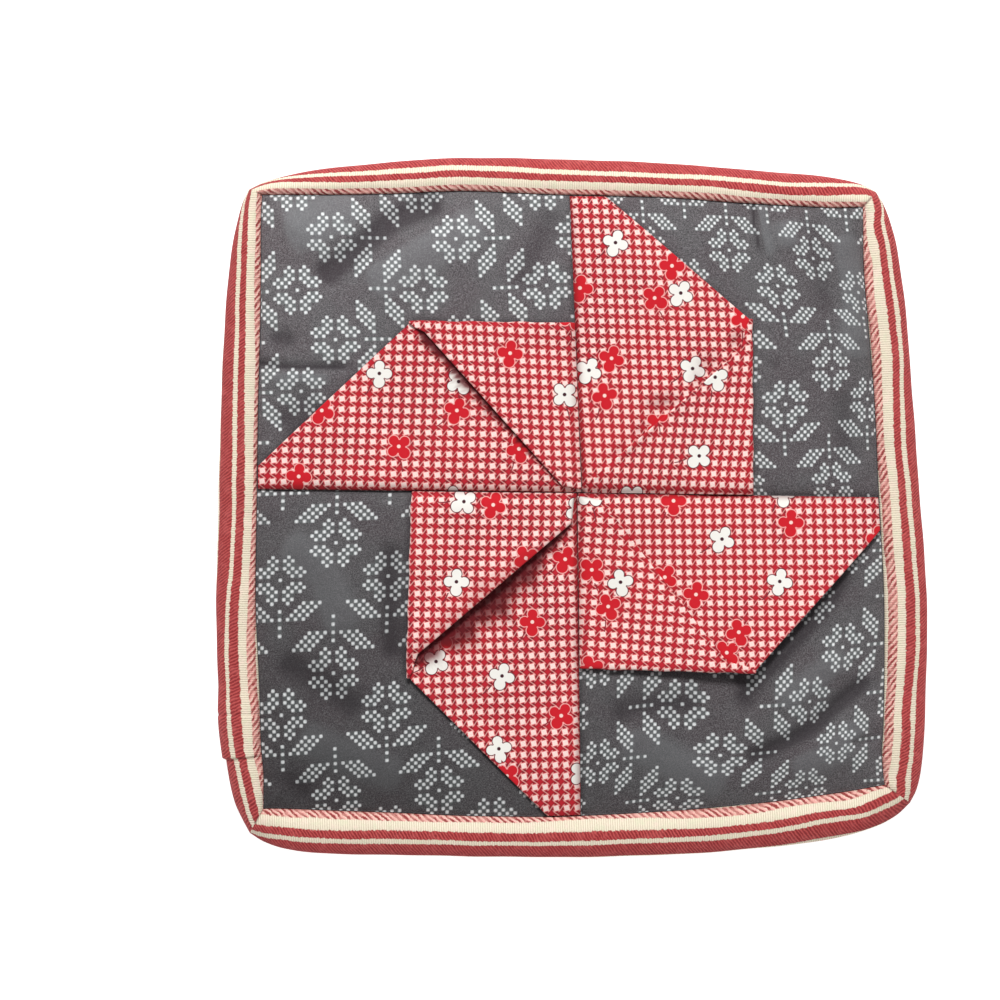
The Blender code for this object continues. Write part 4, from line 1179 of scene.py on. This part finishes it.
        uneven = 1 + facts["wave"] * waves(np.full(len(xy), q * 68.0), ((23.0, 0.7, wave_at), (11.0, 0.4, 2.3 * wave_at)))
        mouth = facts["mouth"] * swell * np.maximum(0.0, 1 - reach / facts["open"]) ** 1.6 * uneven
        rest = front_height(xy) + LIE - sink + lifted(xy)
        lies = 2 * TURN - 0.40 * ease((1 - q) / 0.16)      # pressed flat beyond the fold
        z = rest + press * (PLY + LAYER / 2 + lies - level) + mouth
        grid.append(np.column_stack((xy, z)))
        cloth.append(laid)
        leaf_of_row.append("upper")
    grid = np.array(grid)
    # Soft unevenness of the cloth, the same for every layer.
    flat = grid[..., :2].reshape(-1, 2)
    x, y = flat[:, 0], flat[:, 1]
    soft = (0.15 * np.sin(x / 4.6 + wave_at) * np.sin(y / 5.8 + 2 * wave_at)
            + 0.09 * np.sin((x + y) / 3.4 + wave_at) + 0.05 * np.sin((x - 0.6 * y) / 2.6)
            + 0.17 * np.sin((0.8 * x + y) / 8.3 + 2 * wave_at))
    grid[..., 2] += soft.reshape(grid.shape[:2])
    n_rows, n_columns = grid.shape[:2]
    index = np.arange(n_rows * n_columns).reshape(n_rows, n_columns)
    quads = np.stack((index[:-1, :-1], index[1:, :-1], index[1:, 1:], index[:-1, 1:]), axis=-1).reshape(-1, 4)
    flap = thing("folded_flap_" + name, grid.reshape(-1, 3), quads, [CHECKED])
    mesh = flap.data
    corner_xy = corner_points(mesh, np.array(cloth).reshape(-1, 2))
    of_face = faces_of_corners(mesh)
    face_row = np.repeat(np.arange(n_rows - 1), n_columns - 1)
    face_column = np.tile(np.arange(n_columns - 1), n_rows - 1)
    upper = np.array([leaf_of_row[r + 1] == "upper" for r in face_row])
    centre = grid.reshape(-1, 3)[quads].mean(1)[:, :2]
    # The side that shows is the upper layer on the lower leaf and, turned
    # over, the other layer on the upper leaf.
    half = (n_columns - 1) / 2
    shows = np.where(upper, face_column < half + 4, face_column > half - 4)
    check = np.zeros((len(corner_xy), 2))
    bloom = np.full((len(corner_xy), 2), 90.0)
    kind = np.zeros((len(corner_xy), 2))
    for leaf, mask in (("lower", ~upper), ("upper", upper)):
        sx, sy, right_by, right_turn, up_by, up_turn = CHECK[(name, leaf)]
        step = np.column_stack((
            (right_by * math.cos(math.radians(right_turn)), right_by * math.sin(math.radians(right_turn))),
            (up_by * math.cos(math.radians(up_turn)), up_by * math.sin(math.radians(up_turn)))))
        here = mask[of_face]
        check[here] = (corner_xy[here] - (sx, sy)) @ np.linalg.inv(step).T
        blooms = BLOOMS[(name, leaf)]
        places = np.array([b[:2] for b in blooms])
        nearest = np.linalg.norm(centre[:, None] - places[None], axis=2).argmin(1)
        for i, (bx, by, sort, turn) in enumerate(blooms):
            mine = (mask & shows & (nearest == i))[of_face]
            away = corner_xy[mine] - (bx, by)
            c, s = math.cos(math.radians(turn)), math.sin(math.radians(turn))
            bloom[mine] = np.column_stack((away[:, 0] * c + away[:, 1] * s, -away[:, 0] * s + away[:, 1] * c))
            kind[mine, 0] = 0.5 if sort == "white" else 1.0
    set_map(mesh, "check", check)
    set_map(mesh, "bloom", bloom)
    set_map(mesh, "kind", kind)
    # How deep the painted shade is beside the free edge and in the painted shade spots.
    at = corner_points(mesh, grid.reshape(-1, 3)[:, :2])
    edge_from, edge_to = np.array(facts["free_edge"][1]), np.array(facts["free_edge"][0])
    edge_run = edge_to - edge_from
    across = np.array((edge_run[1], -edge_run[0])) / np.linalg.norm(edge_run)
    across = across * -np.sign((fold_end - edge_from) @ across)
    beyond = (at - edge_from) @ across
    share = (at - edge_from) @ edge_run / (edge_run @ edge_run)
    deep, widths, over = facts["shade"]
    wide = np.interp(share, [w[0] for w in widths], [w[1] for w in widths])
    wide = wide * (1 + 0.16 * waves(share, ((0.21, 1.0, wave_at), (0.09, 0.6, 2 * wave_at))))
    shade = deep * (1 - ease((beyond - 0.25 * wide) / (0.9 * wide))) * (0.35 + 0.65 * ease(wide / 1.2))
    shade = np.where(upper[of_face], over * min(deep, 1.0) * np.exp(-((beyond / (0.45 * wide)) ** 2)), shade)
    for sx, sy, long_half, short_half, turn, depth in facts["shade_spots"]:
        c, s = math.cos(math.radians(turn)), math.sin(math.radians(turn))
        away = at - (sx, sy)
        spot = (((away[:, 0] * c + away[:, 1] * s) / long_half) ** 2
                + ((away[:, 1] * c - away[:, 0] * s) / short_half) ** 2)
        shade = np.maximum(shade, np.where(upper[of_face], 0.0, depth * np.exp(-spot)))
    shade = shade * ease((share + 0.02) / 0.05) * ease((1.03 - share) / 0.05)
    # Painted shade along the two seams that the flap is caught in.
    long_gap = np.abs((at - corner) @ np.array((-long_run[1], long_run[0])))
    short_gap = np.abs((at - corner) @ np.array((-short_run[1], short_run[0])))
    seams = np.maximum(0.62 * np.exp(-((long_gap / 1.0) ** 2)), 0.35 * np.exp(-((short_gap / 0.7) ** 2)))
    set_map(mesh, "shade", np.column_stack((np.maximum(shade, seams), np.zeros(len(shade)))))
    layer = flap.modifiers.new("one layer of cloth", "SOLIDIFY")
    layer.thickness = LAYER * MM
    layer.offset = 0.0
    layer.use_rim = True
    layer.use_even_offset = False
    return apply_modifiers(flap)


# ---------------------------------------------------------------- the binding
def lap_height(side, shares):
    """What the lapped end adds to the binding."""
    if side != LAP["side"]:
        return np.zeros(len(shares))
    rise = np.sin(math.pi / 2 * np.clip((shares - LAP["from"]) / (LAP["fold"] - LAP["from"]), 0, 1))
    fall = 1 - ease((shares - LAP["fold"]) / LAP["blend"])
    return LAP["thick"] * rise * fall


def make_binding():
    vertices, faces, maps = [], [], []
    half = graded(104, 0.45)
    rows, sides = [], []
    for side in ORDER:
        middle = SIDES[side]["cross_at"]
        shares = np.concatenate((middle * (1 - half[::-1]), (middle + (1 - middle) * half[1:])[:-1]))
        for place, extra in ((LAP["side"], LAP["fold"] + LAP["blend"] * np.linspace(-0.6, 1.4, 11)),
                             (JOIN["side"], JOIN["at"] + 0.0014 * np.arange(-4, 5))):
            if side == place:
                shares = shares[(shares < extra[0] - 0.001) | (shares > extra[-1] + 0.001)]
                shares = np.sort(np.concatenate((shares, extra)))
        rows.append((side, shares))
        sides += [(side, share) for share in shares]
    seam, out, width, mitre, low = section_frames(rows)
    lap = np.concatenate([lap_height(side, shares) for side, shares in rows])
    count = len(seam)
    base = np.array(SKIN)
    base_cuts = np.arange(len(base))
    fine = np.concatenate((np.linspace(0, 8, 41), np.linspace(8, 9, 9)[1:]))
    ring_at = np.concatenate(([0.0], np.cumsum(np.linalg.norm(np.diff(seam, axis=0), axis=1))))

    def spline(points, at):
        """A smooth curve through points, read at places between them."""
        k = np.clip(np.floor(at).astype(int), 0, len(points) - 2)
        t = (at - k)[:, None]
        p1, p2 = points[k], points[k + 1]
        m1 = (points[np.minimum(k + 1, len(points) - 1)] - points[np.maximum(k - 1, 0)]) / 2
        m2 = (points[np.minimum(k + 2, len(points) - 1)] - points[k]) / 2
        return ((2 * t**3 - 3 * t**2 + 1) * p1 + (t**3 - 2 * t**2 + t) * m1
                + (3 * t**2 - 2 * t**3) * p2 + (t**3 - t**2) * m2)

    # How deep the mitres and the joining seam are folded in at each cut.
    pinch, over = np.zeros(count), np.full(count, 4.0)
    for i, (side, share) in enumerate(sides):
        near = min(share, 1 - share) * side_length(side)
        start = side if share < 0.5 else ORDER[(ORDER.index(side) + 1) % 4]
        pinch[i] = MITRES[start][0] * max(0.0, 1 - near / 0.75)
        over[i] = MITRES[start][1]
        if side == JOIN["side"] and abs(share - JOIN["at"]) < 0.006:
            gap = abs(share - JOIN["at"]) * side_length(side)
            pinch[i] = JOIN["deep"] * math.exp(-((gap / JOIN["wide"]) ** 2))
            over[i] = 30.0

    sections, rounds, painted_binding_shade = [], [], []
    for i in range(count):
        skin = np.column_stack((base[:, 0] * width[i], base[:, 1] * np.where(base[:, 1] > 4, low[i], 1)))
        curve = spline(skin, fine)
        curve[:, 1] = np.maximum(curve[:, 1], 0.0)
        curve[41:, 1] = 0.0
        # Soft unevenness, fading out where the strip turns under.
        s = ring_at[i]
        share = fine / 9.0
        swell = (waves(s, ((31.0, 0.16, 0.5), (17.0, 0.13, 2.2), (67.0, 0.14, 4.0)))
                 * np.clip(1 - share * 1.3, 0, 1) * ease(fine / 1.0))
        ripple = waves(s, ((8.3, 0.10, 0.0), (5.1, 0.07, 1.3))) * np.clip(1 - fine / 2.6, 0, 1) * ease(fine / 0.6)
        square = offset(curve, -1.0) - curve
        arc = np.concatenate(([0.0], np.cumsum(np.linalg.norm(np.diff(curve, axis=0), axis=1))))
        curve = curve + square * (swell + ripple)[:, None]
        curve[:, 1] = np.maximum(curve[:, 1], 0.0)
        inner = offset(curve, STRIP_LAYER * mitre[i])
        upper = offset(curve, (STRIP_LAYER + STRIP_GAP) * mitre[i])
        under = offset(curve, (2 * STRIP_LAYER + STRIP_GAP) * mitre[i])
        for layer, by in ((inner, STRIP_LAYER), (upper, STRIP_LAYER + STRIP_GAP), (under, 2 * STRIP_LAYER + STRIP_GAP)):
            layer[38:, 1] = by * mitre[i]
        lift = lap[i] * ease(np.clip(fine / 1.6, 0, 1)) * np.clip((8.6 - fine) / 1.0, 0, 1)
        sunk = pinch[i] * ease((over[i] - arc) / 1.5 + 0.5) * ease(arc / 0.5)
        curve = curve + square * (lift - np.minimum(sunk, 0.38 + lift))[:, None]
        curve[0] = (0.05, 6.4)
        curve[1:3, 1] -= np.array((0.25, 0.05))
        curve[:, 1] = np.maximum(curve[:, 1], 0.0)
        front, back = np.arange(2, 17, 2), np.arange(42, 49)
        body = np.append(np.arange(46, 1, -3), 2)
        fold = curve[-1] + np.array(((-0.14, 0.3), (-0.14, 0.72))) * (1, mitre[i])
        sections.append(np.vstack((
            curve, fold,
            under[back[::-1]], upper[back[:-2]],        # turned in behind the back seam
            inner[body],                                # the strip's own inner face
            upper[front], under[front[::-1]],           # turned in under the front seam
            ((0.12, 6.05),))))
        end = arc[-1]
        rounds.append(np.concatenate((
            arc, (end + 0.3, end + 0.7),
            end + 1.0 + end - arc[back[::-1]], end + 1.0 + end - arc[back[:-2]],
            arc[body],
            -0.8 - arc[front], -0.8 - arc[front[::-1]],
            (-0.4,))))
        # Painted shade: dark in the front seam's fold, in the mitres and the joining seam, and a little on the
        # turned-in faces.
        dark = np.zeros(len(rounds[-1]))
        depth = min(1.0, 1.25 * pinch[i]) * ease((over[i] - arc) / 0.8 + 0.5)
        dark[:49] = np.maximum(depth, 1 - ease(arc / 0.26))
        dark[49:] = 0.3
        painted_binding_shade.append(dark)
    section, rounds, painted_binding_shade = np.array(sections), np.array(rounds), np.array(painted_binding_shade)
    n_section = section.shape[1]
    xy = seam[:, None] + out[:, None] * section[..., :1]
    points = np.concatenate((xy, section[..., 1:]), axis=2)
    vertices = points.reshape(-1, 3)
    index = np.arange(count * n_section).reshape(count, n_section)
    after = np.roll(index, -1, axis=0)
    around = np.roll(index, -1, axis=1)
    both = np.roll(after, -1, axis=1)
    quads = np.stack((index, after, both, around), axis=-1).reshape(-1, 4)
    strip = thing("striped_edge_strip", vertices, quads, [TICKING])
    mesh = strip.data

    # How far along each side, and how far round from the front seam, each
    # point lies, measured square to the side that its face belongs to.
    first_of = {}
    for i, (side, share) in enumerate(sides):
        first_of.setdefault(side, i)
    uv = np.zeros((count, n_section, 4, 2))
    starts = {side: sum(side_length(s) for s in ORDER[:k]) for k, side in enumerate(ORDER)}
    for side, shares in rows:
        begin = first_of[side]
        own = np.arange(begin, begin + len(shares) + 1) % count
        a, b, along, normal = side_frame(side, 0)
        along_at = (points[own][..., :2] - a) @ along + starts[side]
        at = np.append(shares, 1.0)
        ends = [smooth(STRIPE_ENDS[side], column, at) for column in (1, 2, 3, 4)]
        nominal = [STRIPES[k][2] for k in range(4)]
        around_at = np.empty_like(along_at)
        for k, station in enumerate(own):
            marks = [ends[n][k] for n in range(4)]
            t = rounds[station]
            around_at[k] = np.interp(t, marks, nominal)
            around_at[k] = np.where(t < marks[0], nominal[0] + t - marks[0], around_at[k])
            around_at[k] = np.where(t > marks[3], nominal[3] + t - marks[3], around_at[k])
        table = np.stack((along_at, around_at), axis=-1)
        for k in range(len(shares)):
            here, there = table[k], table[k + 1]
            uv[begin + k, :, 0] = here
            uv[begin + k, :, 1] = there
            uv[begin + k, :, 2] = np.roll(there, -1, axis=0)
            uv[begin + k, :, 3] = np.roll(here, -1, axis=0)
    deep = np.stack((painted_binding_shade, np.roll(painted_binding_shade, -1, axis=0), np.roll(np.roll(painted_binding_shade, -1, axis=0), -1, axis=1),
                     np.roll(painted_binding_shade, -1, axis=1)), axis=-1)
    set_map(mesh, "deep", np.stack((deep, deep), axis=-1).reshape(-1, 2))
    set_map(mesh, "stripe", uv.reshape(-1, 2))
    return strip


# ---------------------------------------------------------------- assembly
pad = make_pad()
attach(pad, "root")
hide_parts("pad")

flaps = {}
for flap_name, flap_facts in FLAPS.items():
    flap = make_flap(flap_name, flap_facts)
    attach(flap, "root")
    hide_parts("flap_" + flap_name)
    flaps[flap_name] = flap

binding = make_binding()
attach(binding, "root")
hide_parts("binding")

# ---------------------------------------------------------------- the stage
stage_mesh = bpy.data.meshes.new("pale_floor")
reach = 3.0
stage_mesh.from_pydata([(-reach, -reach, -0.0002), (reach, -reach, -0.0002), (reach, reach, -0.0002),
                        (-reach, reach, -0.0002)], [], [(0, 1, 2, 3)])
floor = bpy.data.objects.new("pale_floor", stage_mesh)
bpy.context.scene.collection.objects.link(floor)
paint = bpy.data.materials.new("pale_floor")
paint.use_nodes = True
paint.node_tree.nodes["Principled BSDF"].inputs["Base Color"].default_value = (0.6, 0.6, 0.6, 1)
paint.node_tree.nodes["Principled BSDF"].inputs["Emission Color"].default_value = (1.0, 1.0, 1.0, 1)
paint.node_tree.nodes["Principled BSDF"].inputs["Emission Strength"].default_value = 0.85
paint.node_tree.nodes["Principled BSDF"].inputs["Roughness"].default_value = 0.9
stage_mesh.materials.append(paint)

scene = bpy.context.scene
world = bpy.data.worlds.new("studio")
world.use_nodes = True
world.node_tree.nodes["Background"].inputs[0].default_value = (1.0, 1.0, 1.0, 1.0)
world.node_tree.nodes["Background"].inputs[1].default_value = 0.36
scene.world = world


def lamp(name, place, towards, size, power):
    light = bpy.data.lights.new(name, "AREA")
    light.shape = "SQUARE"
    light.size = size
    light.energy = power
    made = bpy.data.objects.new(name, light)
    made.location = place
    made.rotation_euler = (Vector(towards) - Vector(place)).to_track_quat("-Z", "Y").to_euler()
    scene.collection.objects.link(made)


lamp("soft_window", (-0.06, 0.86, 1.28), (0, 0, 0), 0.34, 20.4)

camera = bpy.data.objects.new("camera", bpy.data.cameras.new("camera"))
camera.data.sensor_width = 36.0
camera.data.lens = 18.0 / 0.1425
camera.data.clip_start = 0.01
camera.data.clip_end = 20.0
camera.location = (-0.02057, 0.0022, 1.007)
camera.rotation_euler = (0.0, 0.0, 0.0)
scene.collection.objects.link(camera)
scene.camera = camera
scene.view_settings.view_transform = "Standard"
scene.view_settings.look = "None"
